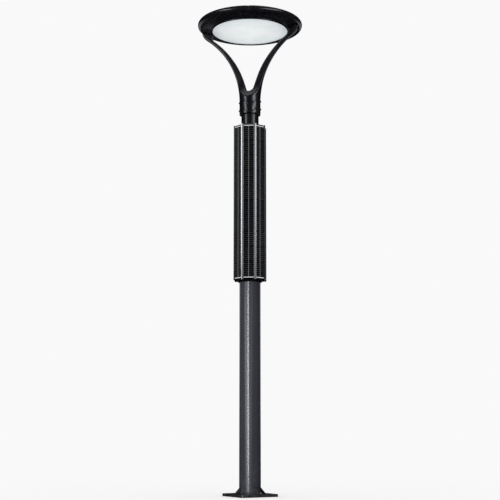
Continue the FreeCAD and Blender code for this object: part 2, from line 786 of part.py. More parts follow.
def make_yoke():
    """Forked casting: a trumpet round the mast's top, narrowed to two arms by cuts from both sides."""
    yoke = body("yoke")
    arc_end = (f"{FOOT_OUTER} - shoulder_reach", "head_rise - nose_radius - shoulder_level")
    foot_level = f"{arc_end[1]} + shoulder_drop"
    top_inner = f"head_rise + {under_level(BEZEL_SEAT)}"
    turned(yoke, [
        ("0", "0"),
        (f"{COLLAR_RADIUS} - collar_chamfer", "0"),
        (COLLAR_RADIUS, "collar_chamfer"),
        (COLLAR_RADIUS, "flare_start"),
        (*arc_end, -1, bow(COLLAR_RADIUS, "flare_start", *arc_end, "flare_turn")),
        (FOOT_OUTER, foot_level, 1, bow(*arc_end, FOOT_OUTER, foot_level, "shoulder_turn")),
        (FOOT_OUTER, f"head_rise + {under_level(FOOT_OUTER)}"),
        (BEZEL_SEAT, top_inner),
        ("0", top_inner),
    ])
    cut_waist(yoke)
    cut_fork(yoke)
    socket = f"{MAST_RADIUS} + socket_play"
    turned(yoke, [
        ("0", "-overrun"),
        (f"{socket} + socket_chamfer", "-overrun"),
        (f"{socket} + socket_chamfer", "socket_chamfer"),
        (socket, "2 * socket_chamfer"),
        (socket, "socket_deep"),
        ("0", "socket_deep"),
    ], groove=True)
    for level in ("groove_low", "groove_high"):
        turned(yoke, [
            (f"{COLLAR_RADIUS} - groove_deep", level),
            (f"{COLLAR_RADIUS} + overrun", level),
            (f"{COLLAR_RADIUS} + overrun", f"{level} + groove_tall"),
            (f"{COLLAR_RADIUS} - groove_deep", f"{level} + groove_tall"),
        ], groove=True)
    for role, levels in (("YZ_Plane", ("screw_side_low", "screw_side_high")),
                         ("XZ_Plane", ("screw_face_low", "screw_face_high"))):
        holes = sketch_on(yoke, role)
        for level in levels:
            disc(holes, "screw_radius", "0", level)
        pocket(yoke, holes, f"2 * ({COLLAR_RADIUS} + overrun)", both_ways=True)
    feet = sketch_on(yoke, "XY_Plane", lift="head_rise")
    for side in ("", "-"):
        for x in foot_bolt_places():
            disc(feet, "foot_bolt", f"{side}({x})", "0")
    pocket(yoke, feet, "nose_radius + under_drop + foot_bolt_deep")
    place(yoke, z=COLLAR_LEVEL)


def cut_waist(yoke):
    """Takes the trumpet's front and back away above the collar, leaving a narrow slab."""
    sketch = sketch_on(yoke, "YZ_Plane")
    far = f"{FOOT_OUTER} + cut_margin"
    start = (f"{COLLAR_RADIUS} + waist_clear", "waist_start")
    waist = ("arm_half_wide", "waist_end")
    for side in (1, -1):
        corners = [
            (far, "waist_start"),
            (far, "head_rise"),
            ("arm_tip_half_wide", "head_rise"),
            waist,
            (*start, side, bow(*waist, *start, "waist_turn")),
        ]
        if side < 0:
            corners = [(f"-({corner[0]})", *corner[1:]) for corner in corners]
        loop(sketch, corners)
    pocket(yoke, sketch, f"2 * {FOOT_OUTER} + cut_margin", both_ways=True)


def cut_fork(yoke):
    """Takes the space between the arms away: a round saddle, two bowed sides and upright feet."""
    sketch = sketch_on(yoke, "XZ_Plane")
    saddle = ("saddle_radius * cos(saddle_splay)",
              "saddle_rise + saddle_radius * (1 - sin(saddle_splay))")
    knee = (f"{FOOT_INNER} - knee_reach", "head_rise - nose_radius - knee_level")
    foot = (FOOT_INNER, f"{knee[1]} + knee_drop")
    top = "head_rise"
    loop(sketch, [
        (FOOT_INNER, top),
        (f"-{FOOT_INNER}", top),
        (f"-{foot[0]}", foot[1]),
        (f"-({knee[0]})", knee[1], 1, bow(*foot, *knee, "knee_turn")),
        (f"-({saddle[0]})", saddle[1], -1, bow(*knee, *saddle, "inner_turn")),
        (*saddle, 1, "saddle_radius"),
        (*knee, -1, bow(*saddle, *knee, "inner_turn")),
        (*foot, 1, bow(*knee, *foot, "knee_turn")),
    ])
    pocket(yoke, sketch, f"2 * {FOOT_OUTER} + cut_margin", both_ways=True)


def foot_bolt_places():
    middle = f"({FOOT_INNER} + {FOOT_OUTER}) / 2"
    return (f"{middle} - foot_bolt_pitch / 2", f"{middle} + foot_bolt_pitch / 2")


def make_collar_screws():
    rows = [
        (f"{COLLAR_LEVEL} + screw_side_low", (0, 180)),
        (f"{COLLAR_LEVEL} + screw_side_high", (0, 180)),
        (f"{COLLAR_LEVEL} + screw_face_low", (90, 270)),
        (f"{COLLAR_LEVEL} + screw_face_high", (90, 270)),
    ]
    radial_bolts("collar_screws", "screw_radius", "screw_head", "screw_head_tall",
                 COLLAR_RADIUS, f"{MAST_RADIUS} + socket_play", rows)


# ---------------------------------------------------------------- head

def make_housing():
    """Lower half of the head: rim, sloping underside, lens seat, light box wall and hinge ears."""
    housing = body("head_housing")
    box_outer = f"{LIGHT_BOX} + light_box_wall"
    turned(housing, [
        (on_nose("nose_radius", "split_level"), "split_level", 1, "nose_radius"),
        (f"{SEAL_REACH} + seal_wide", "split_level"),
        (f"{SEAL_REACH} + seal_wide", "split_level - seal_groove"),
        (SEAL_REACH, "split_level - seal_groove"),
        (SEAL_REACH, "split_level"),
        (on_nose(NOSE_BORE, "split_level"), "split_level"),
        ("nose_reach", f"-{NOSE_BORE}", -1, NOSE_BORE),
        (f"{BEZEL_SEAT} + floor_step", f"{LENS_SEAT} + floor_thick"),
        (box_outer, f"{LENS_SEAT} + floor_thick"),
        (box_outer, BOX_TOP),
        (LIGHT_BOX, BOX_TOP),
        (LIGHT_BOX, LENS_SEAT),
        (BEZEL_SEAT, LENS_SEAT),
        (BEZEL_SEAT, BEZEL_LEVEL),
        ("nose_reach", "-nose_radius"),
        ("nose_reach + nose_radius", "0", 1, "nose_radius"),
    ])
    boss = sketch_on(housing, "XZ_Plane")
    loop(boss, [
        (f"{FOOT_INNER} + boss_inset", f"{under_level(FOOT_INNER)} + boss_sink"),
        (f"{FOOT_OUTER} - boss_inset", f"{under_level(FOOT_OUTER)} + boss_sink"),
        (f"{FOOT_OUTER} - boss_inset", "-boss_level"),
        (f"{FOOT_INNER} + boss_inset", "-boss_level"),
    ])
    repeat(housing, pad(housing, boss, "2 * boss_half_wide", both_ways=True), 2)
    holes = sketch_on(housing, "XY_Plane")
    for side in ("", "-"):
        for x in foot_bolt_places():
            disc(holes, "foot_bolt", f"{side}({x})", "0")
    disc(holes, "gland_bore", f"({FOOT_INNER} + {FOOT_OUTER}) / 2", "0")
    pocket(housing, holes, "nose_radius + under_drop")
    ears = sketch_on(housing, "XZ_Plane", turn="latch_turn + 180")
    disc(ears, "knuckle_radius", HINGE_REACH, HINGE_LEVEL)
    pad(housing, ears, "knuckle_wide + 2 * ear_gap + 2 * ear_wide", both_ways=True)
    webs = sketch_on(housing, "XZ_Plane", turn="latch_turn + 180")
    rectangle(webs, "nose_reach + nose_radius - web_sink", "-web_drop",
              HINGE_REACH, "split_level - lid_clearance")
    pad(housing, webs, "knuckle_wide + 2 * ear_gap + 2 * ear_wide", both_ways=True)
    between = sketch_on(housing, "XZ_Plane", turn="latch_turn + 180")
    rectangle(between, "nose_reach + nose_radius + ear_gap", "-web_drop - overrun",
              f"{HINGE_REACH} + knuckle_radius + overrun", f"{HINGE_LEVEL} + knuckle_radius + overrun")
    pocket(housing, between, "knuckle_wide + 2 * ear_gap", both_ways=True)
    bore = sketch_on(housing, "XZ_Plane", turn="latch_turn + 180")
    disc(bore, "hinge_pin", HINGE_REACH, HINGE_LEVEL)
    pocket(housing, bore, "2 * nose_reach", both_ways=True)
    keeper = sketch_on(housing, "XZ_Plane", turn="latch_turn")
    rectangle(keeper, f"{LATCH_TIP} + keeper_gap", f"{KEEPER_TOP} - keeper_tall",
              f"nose_reach + {NOSE_BORE} + overrun", KEEPER_TOP)
    pad(housing, keeper, "latch_wide - 2 * keeper_inset", both_ways=True)
    place(housing, z=HEAD_LEVEL)


def make_lens():
    bezel = body("bezel_ring")
    turned(bezel, [
        (f"{BEZEL_BORE} - bezel_lip", BEZEL_FACE),
        ("bezel_radius - bezel_round", BEZEL_FACE),
        ("bezel_radius", f"{BEZEL_FACE} + bezel_round", 1, "bezel_round"),
        ("bezel_radius", LENS_SEAT),
        (BEZEL_BORE, LENS_SEAT),
        (BEZEL_BORE, LENS_FACE),
        (f"{BEZEL_BORE} - bezel_lip", LENS_FACE),
    ])
    lens = body("lens_diffuser")
    turned(lens, [
        ("0", LENS_FACE),
        (LENS_RADIUS, LENS_FACE),
        (LENS_RADIUS, LENS_TOP),
        ("0", LENS_TOP),
    ])
    gasket = body("lens_gasket")
    turned(gasket, [
        (LIGHT_BOX, LENS_TOP),
        (LENS_RADIUS, LENS_TOP),
        (LENS_RADIUS, LENS_SEAT),
        (LIGHT_BOX, LENS_SEAT),
    ])
    reflector = body("light_box_liner")
    liner_top = f"{BOX_TOP} - led_board_thick - liner_gap"
    liner_bore = f"{LED_BOARD_RADIUS} + liner_gap - reflector_wall"
    turned(reflector, [
        (f"{LIGHT_BOX} - reflector_wall", LENS_TOP),
        (LIGHT_BOX, LENS_TOP),
        (LIGHT_BOX, liner_top),
        (liner_bore, liner_top),
        (liner_bore, f"{liner_top} - reflector_wall"),
        (f"{LIGHT_BOX} - reflector_wall", f"{liner_top} - reflector_wall"),
    ])
    for piece in (bezel, lens, gasket, reflector):
        place(piece, z=HEAD_LEVEL)


def make_light_engine():
    sink = body("heat_sink")
    plate = sketch_on(sink, "XY_Plane", lift=BOX_TOP)
    disc(plate, SINK_RADIUS)
    pad(sink, plate, "sink_plate")
    fin = sketch_on(sink, "XY_Plane", lift=SINK_TOP)
    rectangle(fin, "fin_inner", "-fin_thick / 2", f"{LIGHT_BOX} - fin_edge", "fin_thick / 2")
    repeat(sink, pad(sink, fin, "fin_tall"), FIN_COUNT)
    place(sink, z=HEAD_LEVEL)
    board = cylinder("led_board", LED_BOARD_RADIUS, "led_board_thick",
                     z=f"{HEAD_LEVEL} + {BOX_TOP} - led_board_thick")
    NODES.append(board)
    level = f"{HEAD_LEVEL} + {BOX_TOP} - led_board_thick - led_thick"
    chips = []
    for ring, (count, share) in enumerate(LED_RINGS):
        for i in range(count):
            angle = 360 / count * i
            reach = f"{LED_BOARD_RADIUS} * {share}"
            chips.append(cylinder(f"led_{ring}_{i}", "led_side / 2", "led_thick",
                                  f"{reach} * cos({angle})", f"{reach} * sin({angle})", level))
    combine("Compound", "led_chips", chips)
    case = block("driver_case", "driver_long", "driver_wide", "driver_tall",
                 "-driver_long / 2", "-driver_wide / 2", f"{HEAD_LEVEL} + {SINK_TOP}")
    rounded = DOC.addObject("Part::Fillet", "led_driver")
    rounded.Base = case
    DOC.recompute()
    upright = [i + 1 for i, edge in enumerate(case.Shape.Edges)
               if abs(edge.Vertexes[0].Z - edge.Vertexes[1].Z) > 1]
    rounded.Edges = [(number, DRIVER_CORNER, DRIVER_CORNER) for number in upright]
    NODES.append(rounded)


def make_head_fixings():
    gland = body("cable_gland")
    boss = sketch_on(gland, "XY_Plane", lift="-boss_level")
    disc(boss, "gland_radius")
    disc(boss, "gland_bore - gland_wall")
    pad(gland, boss, "gland_tall")
    stem = sketch_on(gland, "XY_Plane", lift="-boss_level")
    disc(stem, "gland_bore")
    disc(stem, "gland_bore - gland_wall")
    pad(gland, stem, "boss_sink + overrun", reverse=True)
    place(gland, x=f"({FOOT_INNER} + {FOOT_OUTER}) / 2", z=HEAD_LEVEL)
    bolts = []
    for side in (1, -1):
        for row, x in enumerate(foot_bolt_places()):
            tag = f"foot_bolt_{row}_{side}"
            level = f"{HEAD_LEVEL} - boss_level"
            deep = "nose_radius + under_drop + foot_bolt_deep - boss_level"
            shank = cylinder(f"{tag}_shank", "foot_bolt", deep, f"{side} * ({x})", "0",
                             f"{level} - ({deep})")
            cap = cylinder(f"{tag}_head", "foot_bolt_head", "foot_bolt_head_tall",
                           f"{side} * ({x})", "0", level)
            bolts.append(combine("MultiFuse", tag, [shank, cap], node=False))
    combine("Compound", "foot_bolts", bolts)


# ---------------------------------------------------------------- lid, hinge and latch

def make_lid():
    """Domed cover in its own frame: the latch's notch on +X, the hinge knuckle on -X."""
    lid = body("lid")
    dome = "((nose_reach^2 + dome_rise^2) / (2 * dome_rise))"
    turned(lid, [
        ("nose_reach", "nose_radius", 1, "nose_radius"),
        ("0", "nose_radius + dome_rise", 1, dome),
        ("0", "nose_radius + dome_rise - shell_wall"),
        ("nose_reach", NOSE_BORE, -1, dome),
        (on_nose(NOSE_BORE, LID_SEAT), LID_SEAT, -1, NOSE_BORE),
        (on_nose("nose_radius", LID_SEAT), LID_SEAT),
    ])
    block_inner = "scoop_reach - latch_cheek"
    cheeks = sketch_on(lid, "XZ_Plane")
    loop(cheeks, [
        (block_inner, "scoop_level - latch_cheek"),
        (f"{LATCH_BACK} - latch_cheek", "scoop_level - latch_cheek"),
        (f"{LATCH_BACK} - latch_cheek", LID_SEAT),
        (f"nose_reach + {NOSE_BORE} - cheek_inset", LID_SEAT),
        (f"nose_reach + {NOSE_BORE} - cheek_inset", f"{NOSE_BORE} - cheek_drop"),
        ("nose_reach", "nose_radius - cheek_inset"),
        (block_inner, "nose_radius + cheek_inset"),
    ])
    pad(lid, cheeks, "latch_wide + 2 * latch_cheek", both_ways=True)
    beyond = "nose_reach + nose_radius + cut_margin"
    scoop = sketch_on(lid, "XZ_Plane")
    rectangle(scoop, "scoop_reach", "scoop_level", beyond, "nose_radius + dome_rise")
    pocket(lid, scoop, "latch_wide", both_ways=True)
    slot = sketch_on(lid, "XZ_Plane")
    loop(slot, [
        (f"{LATCH_BACK} - latch_cheek - overrun", "0"),
        (beyond, "0"),
        (beyond, "nose_radius + dome_rise"),
        (LATCH_BACK, "nose_radius + dome_rise"),
        (LATCH_BACK, "scoop_level - latch_cheek"),
        (f"{LATCH_BACK} - latch_cheek - overrun", "scoop_level - latch_cheek"),
    ])
    pocket(lid, slot, "latch_wide", both_ways=True)
    pin_hole = sketch_on(lid, "XZ_Plane")
    disc(pin_hole, "latch_pin", "latch_pivot_reach", "latch_pivot_level")
    pocket(lid, pin_hole, "latch_wide + 2 * latch_cheek", both_ways=True)
    knuckle = sketch_on(lid, "XZ_Plane")
    disc(knuckle, "knuckle_radius", f"-{HINGE_REACH}", HINGE_LEVEL)
    pad(lid, knuckle, "knuckle_wide", both_ways=True)
    web = sketch_on(lid, "XZ_Plane")
    rectangle(web, f"-{HINGE_REACH}", f"{HINGE_LEVEL} + ear_gap",
              f"-(nose_reach + {NOSE_BORE} - knuckle_sink)", f"{HINGE_LEVEL} + knuckle_radius")
    pad(lid, web, "knuckle_wide", both_ways=True)
    pin_bore = sketch_on(lid, "XZ_Plane")
    disc(pin_bore, "hinge_pin + pin_play", f"-{HINGE_REACH}", HINGE_LEVEL)
    pocket(lid, pin_bore, "knuckle_wide + 2 * overrun", both_ways=True)
    place(lid, z=HEAD_LEVEL, turn="latch_turn")


def make_lid_gasket():
    gasket = body("lid_gasket")
    turned(gasket, [
        (SEAL_REACH, "split_level - seal_groove"),
        (f"{SEAL_REACH} + seal_wide", "split_level - seal_groove"),
        (f"{SEAL_REACH} + seal_wide", "split_level + seal_proud"),
        (SEAL_REACH, "split_level + seal_proud"),
    ])
    place(gasket, z=HEAD_LEVEL)


def cross_pin(label, radius, length, reach, level, turn):
    """A pin that lies across the radius, at a distance from the axis in a turned direction."""
    pin = body(label)
    sketch = sketch_on(pin, "XZ_Plane")
    disc(sketch, radius, reach, level)
    pad(pin, sketch, length, both_ways=True)
    return place(pin, z=HEAD_LEVEL, turn=turn)


def make_latch():
    lever = body("latch_lever")
    pivot = ("latch_pivot_reach", "latch_pivot_level")
    top = "scoop_level + latch_proud"
    sketch = sketch_on(lever, "XZ_Plane")
    loop(sketch, [
        (f"{pivot[0]} + latch_hub", pivot[1], 1, "latch_hub"),
        (f"{on_nose('nose_radius', top)} - latch_nose_gap", top),
        (LEVER_BACK, top),
        (LEVER_BACK, "-latch_depth"),
        (LATCH_TIP, "-latch_depth"),
        (LATCH_TIP, "latch_hook_tall - latch_depth"),
        (f"{pivot[0]} - latch_stem_edge", "latch_hook_tall - latch_depth"),
        (f"{pivot[0]} - latch_stem_edge", f"{pivot[1]} - latch_hub"),
        (pivot[0], f"{pivot[1]} - latch_hub"),
    ])
    pad(lever, sketch, "latch_wide - 2 * latch_side_gap", both_ways=True)
    bore = sketch_on(lever, "XZ_Plane")
    disc(bore, "latch_pin + pin_play", *pivot)
    pocket(lever, bore, "latch_wide + 2 * overrun", both_ways=True)
    place(lever, z=HEAD_LEVEL, turn="latch_turn")
    spring = body("latch_spring")
    leaf = sketch_on(spring, "XZ_Plane")
    loop(leaf, [
        (LEVER_BACK, "0"),
        (LEVER_BACK, "spring_thick - latch_depth"),
        (f"{LEVER_BACK} - spring_thick", "spring_thick - latch_depth"),
        (f"{LEVER_BACK} - spring_thick", "-spring_thick"),
        (f"{LEVER_BACK} - spring_reach", "-spring_drop - spring_thick"),
        (f"{LEVER_BACK} - spring_reach", "-spring_drop"),
        (f"{LEVER_BACK} - spring_thick", "0"),
    ])
    pad(spring, leaf, "spring_wide", both_ways=True)
    place(spring, z=HEAD_LEVEL, turn="latch_turn")
    cross_pin("latch_pin_rod", "latch_pin", "latch_wide + 2 * latch_cheek", *pivot, "latch_turn")


def make_hinge_pin():
    cross_pin("hinge_pin_rod", "hinge_pin", "knuckle_wide + 2 * ear_gap + 2 * ear_wide",
              HINGE_REACH, HINGE_LEVEL, "latch_turn + 180")


def build_all():
    make_base_plate()
    make_gussets()
    make_pole()
    make_battery()
    make_controller()
    make_mast()
    make_column()
    make_yoke()
    make_collar_screws()
    make_housing()
    make_lens()
    make_light_engine()
    make_head_fixings()
    make_lid()
    make_lid_gasket()
    make_hinge_pin()
    make_latch()


def check_and_write():
    """Stops on any failed or invalid object, then writes one STEP file for each sub-part."""
    DOC.recompute()
    for thing in DOC.Objects:
        if {"Invalid", "Error"} & set(thing.State):
            raise RuntimeError(f"{thing.Name} failed: {thing.State}")
    os.makedirs("parts", exist_ok=True)
    for node in NODES:
        if node.Shape.isNull() or not node.Shape.isValid():
            raise RuntimeError(f"{node.Label} has no valid shape")
    for node in NODES:
        node.Shape.exportStep(os.path.join("parts", f"{node.Label}.step"))
        print(f"{node.Label}: {len(node.Shape.Solids)} solid(s), {node.Shape.Volume / 1000:.1f} cm3")


build_all()
check_and_write()
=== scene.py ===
"""The looks of a solar street lamp: a pole with a faceted solar column, and a round head on a forked arm."""

import math
from functools import cache

import bmesh
import bpy
import numpy as np
from bpy.props import FloatProperty, FloatVectorProperty, IntProperty, PointerProperty
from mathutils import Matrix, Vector


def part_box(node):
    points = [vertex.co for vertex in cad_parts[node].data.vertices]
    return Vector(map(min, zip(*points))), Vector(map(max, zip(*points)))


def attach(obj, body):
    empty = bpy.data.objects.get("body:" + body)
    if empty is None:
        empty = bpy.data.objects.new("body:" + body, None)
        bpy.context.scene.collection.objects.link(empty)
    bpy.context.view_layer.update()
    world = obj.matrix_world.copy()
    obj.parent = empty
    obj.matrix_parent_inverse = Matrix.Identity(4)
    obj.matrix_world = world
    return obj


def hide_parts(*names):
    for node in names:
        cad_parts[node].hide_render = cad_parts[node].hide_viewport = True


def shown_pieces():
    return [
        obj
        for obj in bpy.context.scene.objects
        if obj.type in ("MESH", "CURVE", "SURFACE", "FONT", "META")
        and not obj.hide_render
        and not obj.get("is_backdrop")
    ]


bl_info = {
    "name": "Solar street lamp",
    "version": (1, 0, 0),
    "blender": (4, 5, 0),
    "location": "View3D > Sidebar > Lamp",
    "description": "Builds the visible pieces, finishes and studio of a solar street lamp",
    "category": "Add Mesh",
}

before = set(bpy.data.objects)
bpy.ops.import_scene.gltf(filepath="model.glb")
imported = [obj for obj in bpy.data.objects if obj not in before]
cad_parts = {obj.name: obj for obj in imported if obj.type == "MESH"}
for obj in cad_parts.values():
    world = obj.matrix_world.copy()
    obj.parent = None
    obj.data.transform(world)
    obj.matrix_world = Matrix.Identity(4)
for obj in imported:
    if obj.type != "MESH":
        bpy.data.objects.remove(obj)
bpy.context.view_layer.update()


def edge(node, end, axis):
    """One coordinate of a part's box: end 0 is its lowest corner and 1 its highest."""
    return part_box(node)[end][axis]


def span(node):
    """The lowest and the highest level of a part."""
    return edge(node, 0, 2), edge(node, 1, 2)


LENS_DEPTH = 0.0325
HEAD_LEVEL = edge("lens_diffuser", 0, 2) + LENS_DEPTH
FULL_TURN = 2 * math.pi


# ---------------------------------------------------------------- sizes and colours


def length(description, default):
    """A size in metres."""
    return FloatProperty(description=description, default=default, unit="LENGTH", precision=4)


def turn(description, degrees):
    """An angle, given in degrees."""
    return FloatProperty(description=description, default=math.radians(degrees), subtype="ANGLE")


def tint(description, red, green, blue):
    """A colour, given as it looks on a screen from 0 to 255 and kept as linear light."""
    screen = np.array([red, green, blue]) / 255
    linear = np.where(screen <= 0.04045, screen / 12.92, ((screen + 0.055) / 1.055) ** 2.4)
    return FloatVectorProperty(description=description, default=tuple(linear), subtype="COLOR", min=0, max=1)


class LampSizes(bpy.types.PropertyGroup):
    """Sizes of the lamp's visible pieces."""

    pole_radius: length("Outside radius of the lower pole", edge("pole_tube", 1, 0))
    pole_wall: length("Thickness of the lower pole's wall", 0.004)
    weld_leg: length("Leg of the weld bead round the pole's foot", 0.006)
    neck_radius: length("Outside radius of the tube above the column", edge("mast_tube", 1, 0))
    neck_wall: length("Thickness of that tube's wall", 0.003)
    column_flat: length("Distance of the column's rails from the axis, across flats", 0.0861)
    column_turn: turn("How far the column's faces are turned from square", 10)
    rail_lip: length("Width of a corner rail's lip", 0.008)
    rail_thick: length("Thickness of a corner rail's lip", 0.002)
    panel_wide: length("Width of one solar panel", 0.062)
    panel_face: length("Distance of the panels' faces from the axis", 0.084)
    panel_back: length("Distance of the panels' backs from the axis", 0.0795)
    cap_thick: length("Thickness of the column's end caps", 0.005)
    cap_flat: length("Distance of a cap's flats from the axis", 0.0793)
    lip_tall: length("Height of the round lip on a cap", 0.009)
    lip_wide: length("Width of that lip at its foot", 0.008)
    collar_radius: length("Outside radius of the fork's collar", 0.058)
    collar_tall: length("Height of the collar's straight part", 0.074)
    groove_deep: length("Depth of the two ring grooves in the collar", 0.0009)
    groove_tall: length("Height of one ring groove", 0.0018)
    casting_grain: length("Finest detail kept on the cast fork", 0.0026)
    nose_reach: length("Distance from the axis to the middle of the rounded rim", 0.2735)
    nose_radius: length("Radius of the rounded rim", 0.0165)
    split: length("Height of the joint between the head's halves", 0.003)
    lid_seat: length("Height of the lid's lower edge", 0.0039)
    dome_rise: length("Rise of the lid's dome above its rim", 0.0355)
    shell: length("Thickness of the head's shells", 0.0035)
    bezel_seat: length("Radius of the opening that holds the bezel", 0.2165)
    bezel_radius: length("Outside radius of the ring round the lens", 0.216)
    bezel_wall: length("Width of that ring", 0.0045)
    bezel_lip: length("How far the ring reaches over the lens", 0.0035)
    lens_radius: length("Radius of the diffuser", 0.2111)
    latch_turn: turn("Direction of the lid's latch from the x axis", -77.5)
    scoop_reach: length("Distance from the axis where the latch's scoop starts", 0.248)
    scoop_level: length("Height of the scoop's floor", 0.0115)
    scoop_wide: length("Width of the scoop", 0.0146)
    round_steps: IntProperty(description="Steps round the head", default=320, min=24)


class LampColours(bpy.types.PropertyGroup):
    """Colours of the lamp's finishes."""

    head_paint: tint("Powder coat of the head, the fork and the collar", 14, 14, 19)
    mast_paint: tint("Powder coat of the tube above the column", 15, 15, 21)
    pole_paint: tint("Powder coat of the lower pole", 40, 41, 46)
    plate_paint: tint("Powder coat of the base plate and gussets", 20, 20, 24)
    cap_paint: tint("Powder coat of the column's end caps", 9, 9, 11)
    cell: tint("Silicon of the solar cells", 7, 8, 16)
    cell_green: tint("The greener cells among them", 7, 8, 7)
    finger: tint("Fine printed lines across the cells", 112, 112, 112)
    ribbon: tint("Tinned ribbon down the middle of each panel", 140, 141, 139)
    sheet_edge: tint("White sheet that shows at a panel's ends", 232, 233, 236)
    rail: tint("Silver anodised corner rails", 176, 177, 180)
    # Painted shade: the rails outside SILVER_RAILS are the same anodised aluminium, given this dark colour
    # for the faces turned away from the light.
    dark_rail: tint("Black anodised corner rails", 26, 26, 30)
    lens: tint("Opal diffuser", 236, 240, 240)
    lens_rim: tint("Edge of the diffuser, where less light comes through", 214, 220, 224)
    rubber: tint("Seals and cable jackets", 20, 20, 21)
    studio: tint("Floor and backdrop", 249, 249, 250)


def sizes():
    return bpy.context.scene.lamp_sizes


def colours():
    return bpy.context.scene.lamp_colours


# ---------------------------------------------------------------- surfaces


def placed(name, data):
    """A new object in the scene."""
    made = bpy.data.objects.new(name, data)
    bpy.context.scene.collection.objects.link(made)
    return made


def surface(name, grid, around=(False, False), caps=False, sharp=38.0, chart=None):
    """A mesh of the points grid[a, b]. Each quad joins (a, b), (a + 1, b), (a + 1, b + 1) and
    (a, b + 1), so it faces along the step in a crossed with the step in b. A direction that goes
    around joins its last line to its first. Caps close the first and last line in a."""
    rows, columns = grid.shape[:2]
    index = np.arange(rows * columns).reshape(rows, columns)
    if around[0]:
        index = np.vstack([index, index[:1]])
    if around[1]:
        index = np.hstack([index, index[:, :1]])
    quads = np.stack([index[:-1, :-1], index[1:, :-1], index[1:, 1:], index[:-1, 1:]], -1)
    faces = quads.reshape(-1, 4).tolist()
    if caps:
        faces.append(index[0, :columns].tolist())
        faces.append(index[-1, :columns][::-1].tolist())
    mesh = bpy.data.meshes.new(name)
    mesh.from_pydata(grid.reshape(-1, 3).tolist(), [], faces)
    if chart is not None:
        layer = mesh.uv_layers.new(name="sheet")
        corner = np.zeros(len(mesh.loops), np.int32)
        mesh.loops.foreach_get("vertex_index", corner)
        layer.data.foreach_set("uv", chart.reshape(-1, 2)[corner].astype(np.float32).ravel())
    return tidy(placed(name, mesh), sharp)


def merge(piece, flat=False):
    """Merges points that meet, which closes seams and poles, and if asked, faces that lie flat."""
    work = bmesh.new()
    work.from_mesh(piece.data)
    bmesh.ops.remove_doubles(work, verts=work.verts, dist=1e-6)
    if flat:
        bmesh.ops.dissolve_limit(
            work, angle_limit=math.radians(1.0), verts=work.verts, edges=work.edges, delimit={"NORMAL"}
        )
    work.to_mesh(piece.data)
    work.free()


def tidy(piece, sharp=38.0):
    """Merges points that meet, and shades the surface smooth up to an angle."""
    merge(piece)
    piece.data.shade_smooth()
    piece.data.set_sharp_from_angle(angle=math.radians(sharp))
    return piece


def rounded(corners, radius, steps=4, closed=True):
    """An outline with its corners rounded. Each corner p becomes the curve
    (1-t)^2 a + 2t(1-t) p + t^2 b, where a and b lie on its two sides, up to the radius away."""
    p = np.array(corners, float)
    back, ahead = np.roll(p, 1, 0) - p, np.roll(p, -1, 0) - p
    reach_back = np.linalg.norm(back, axis=1, keepdims=True)
    reach_ahead = np.linalg.norm(ahead, axis=1, keepdims=True)
    radius = np.broadcast_to(np.array(radius, float).reshape(-1, 1), (len(p), 1))
    a = p + back / reach_back * np.minimum(radius, reach_back * 0.45)
    b = p + ahead / reach_ahead * np.minimum(radius, reach_ahead * 0.45)
    t = np.linspace(0, 1, steps + 1)[None, :, None]
    curves = (1 - t) ** 2 * a[:, None] + 2 * t * (1 - t) * p[:, None] + t**2 * b[:, None]
    if not closed:
        curves[0], curves[-1] = p[0], p[-1]
    return curves.reshape(-1, 2)


def arc(x, y, radius, start, end, steps=16):
    """Points on a circle's arc between two angles in degrees: centre + radius (cos, sin)."""
    angle = np.radians(np.linspace(start, end, steps + 1))
    return np.stack([x + radius * np.cos(angle), y + radius * np.sin(angle)], -1)


def revolve(name, outline, level=0.0, steps=None, closed=True, sharp=38.0):
    """A surface of revolution: the point (r, z) of the outline goes to (r cos u, r sin u, z + level)
    as u goes round. The outline runs anticlockwise with r to the right, so faces point outwards."""
    u = np.linspace(0, FULL_TURN, steps or sizes().round_steps, endpoint=False)[:, None]
    r, z = outline[None, :, 0], outline[None, :, 1]
    grid = np.stack([r * np.cos(u), r * np.sin(u), z + level + 0 * u], -1)
    return surface(name, grid, around=(True, closed), sharp=sharp)


def rectangle(left, right, bottom, top):
    """The corners of a rectangle, anticlockwise."""
    return [(left, bottom), (right, bottom), (right, top), (left, top)]


def slab(name, outline, thick, bead, origin, across, up, chart=None):
    """A plate of a flat outline, its edges rounded by bead: ring k of the grid is the outline moved
    inwards by bead (1 - sin a) at the height thick/2 - bead (1 - cos a), for a from 0 to a quarter
    turn, and the same below. Across and up are the outline's directions."""
    across, up = np.array(across, float), np.array(up, float)
    along = np.roll(outline, -1, 0) - np.roll(outline, 1, 0)
    along /= np.linalg.norm(along, axis=1, keepdims=True)
    inwards = np.stack([-along[:, 1], along[:, 0]], -1)
    a = np.linspace(0, math.pi / 2, 5)
    inset = bead * (1 - np.sin(a))
    height = thick / 2 - bead * (1 - np.cos(a))
    inset, height = np.concatenate([inset, inset[::-1]]), np.concatenate([height, -height[::-1]])
    flat = outline[None] + inwards[None] * inset[:, None, None]
    grid = (
        np.array(origin, float)
        + flat[..., :1] * across
        + flat[..., 1:] * up
        + height[:, None, None] * np.cross(across, up)
    )
    return surface(name, grid, around=(False, True), caps=True, chart=None if chart is None else flat + chart)


def bar(name, outline, bottom, top):
    """An upright bar: the outline in x and y carried from one height to another."""
    z = np.array([top, bottom])[:, None]
    x, y = outline[None, :, 0] + 0 * z, outline[None, :, 1] + 0 * z
    grid = np.stack([x, y, z + 0 * x], -1)
    return surface(name, grid, around=(False, True), caps=True, sharp=30.0)


def directions(angle):
    """The outward and the sideways direction at an angle round the axis."""
    return np.array([math.cos(angle), math.sin(angle), 0]), np.array([-math.sin(angle), math.cos(angle), 0])


def joined(name, pieces):
    """Several meshes as one piece."""
    work = bmesh.new()
    for piece in pieces:
        work.from_mesh(piece.data)
    mesh = bpy.data.meshes.new(name)
    work.to_mesh(mesh)
    work.free()
    for piece in pieces:
        bpy.data.objects.remove(piece)
    return placed(name, mesh)


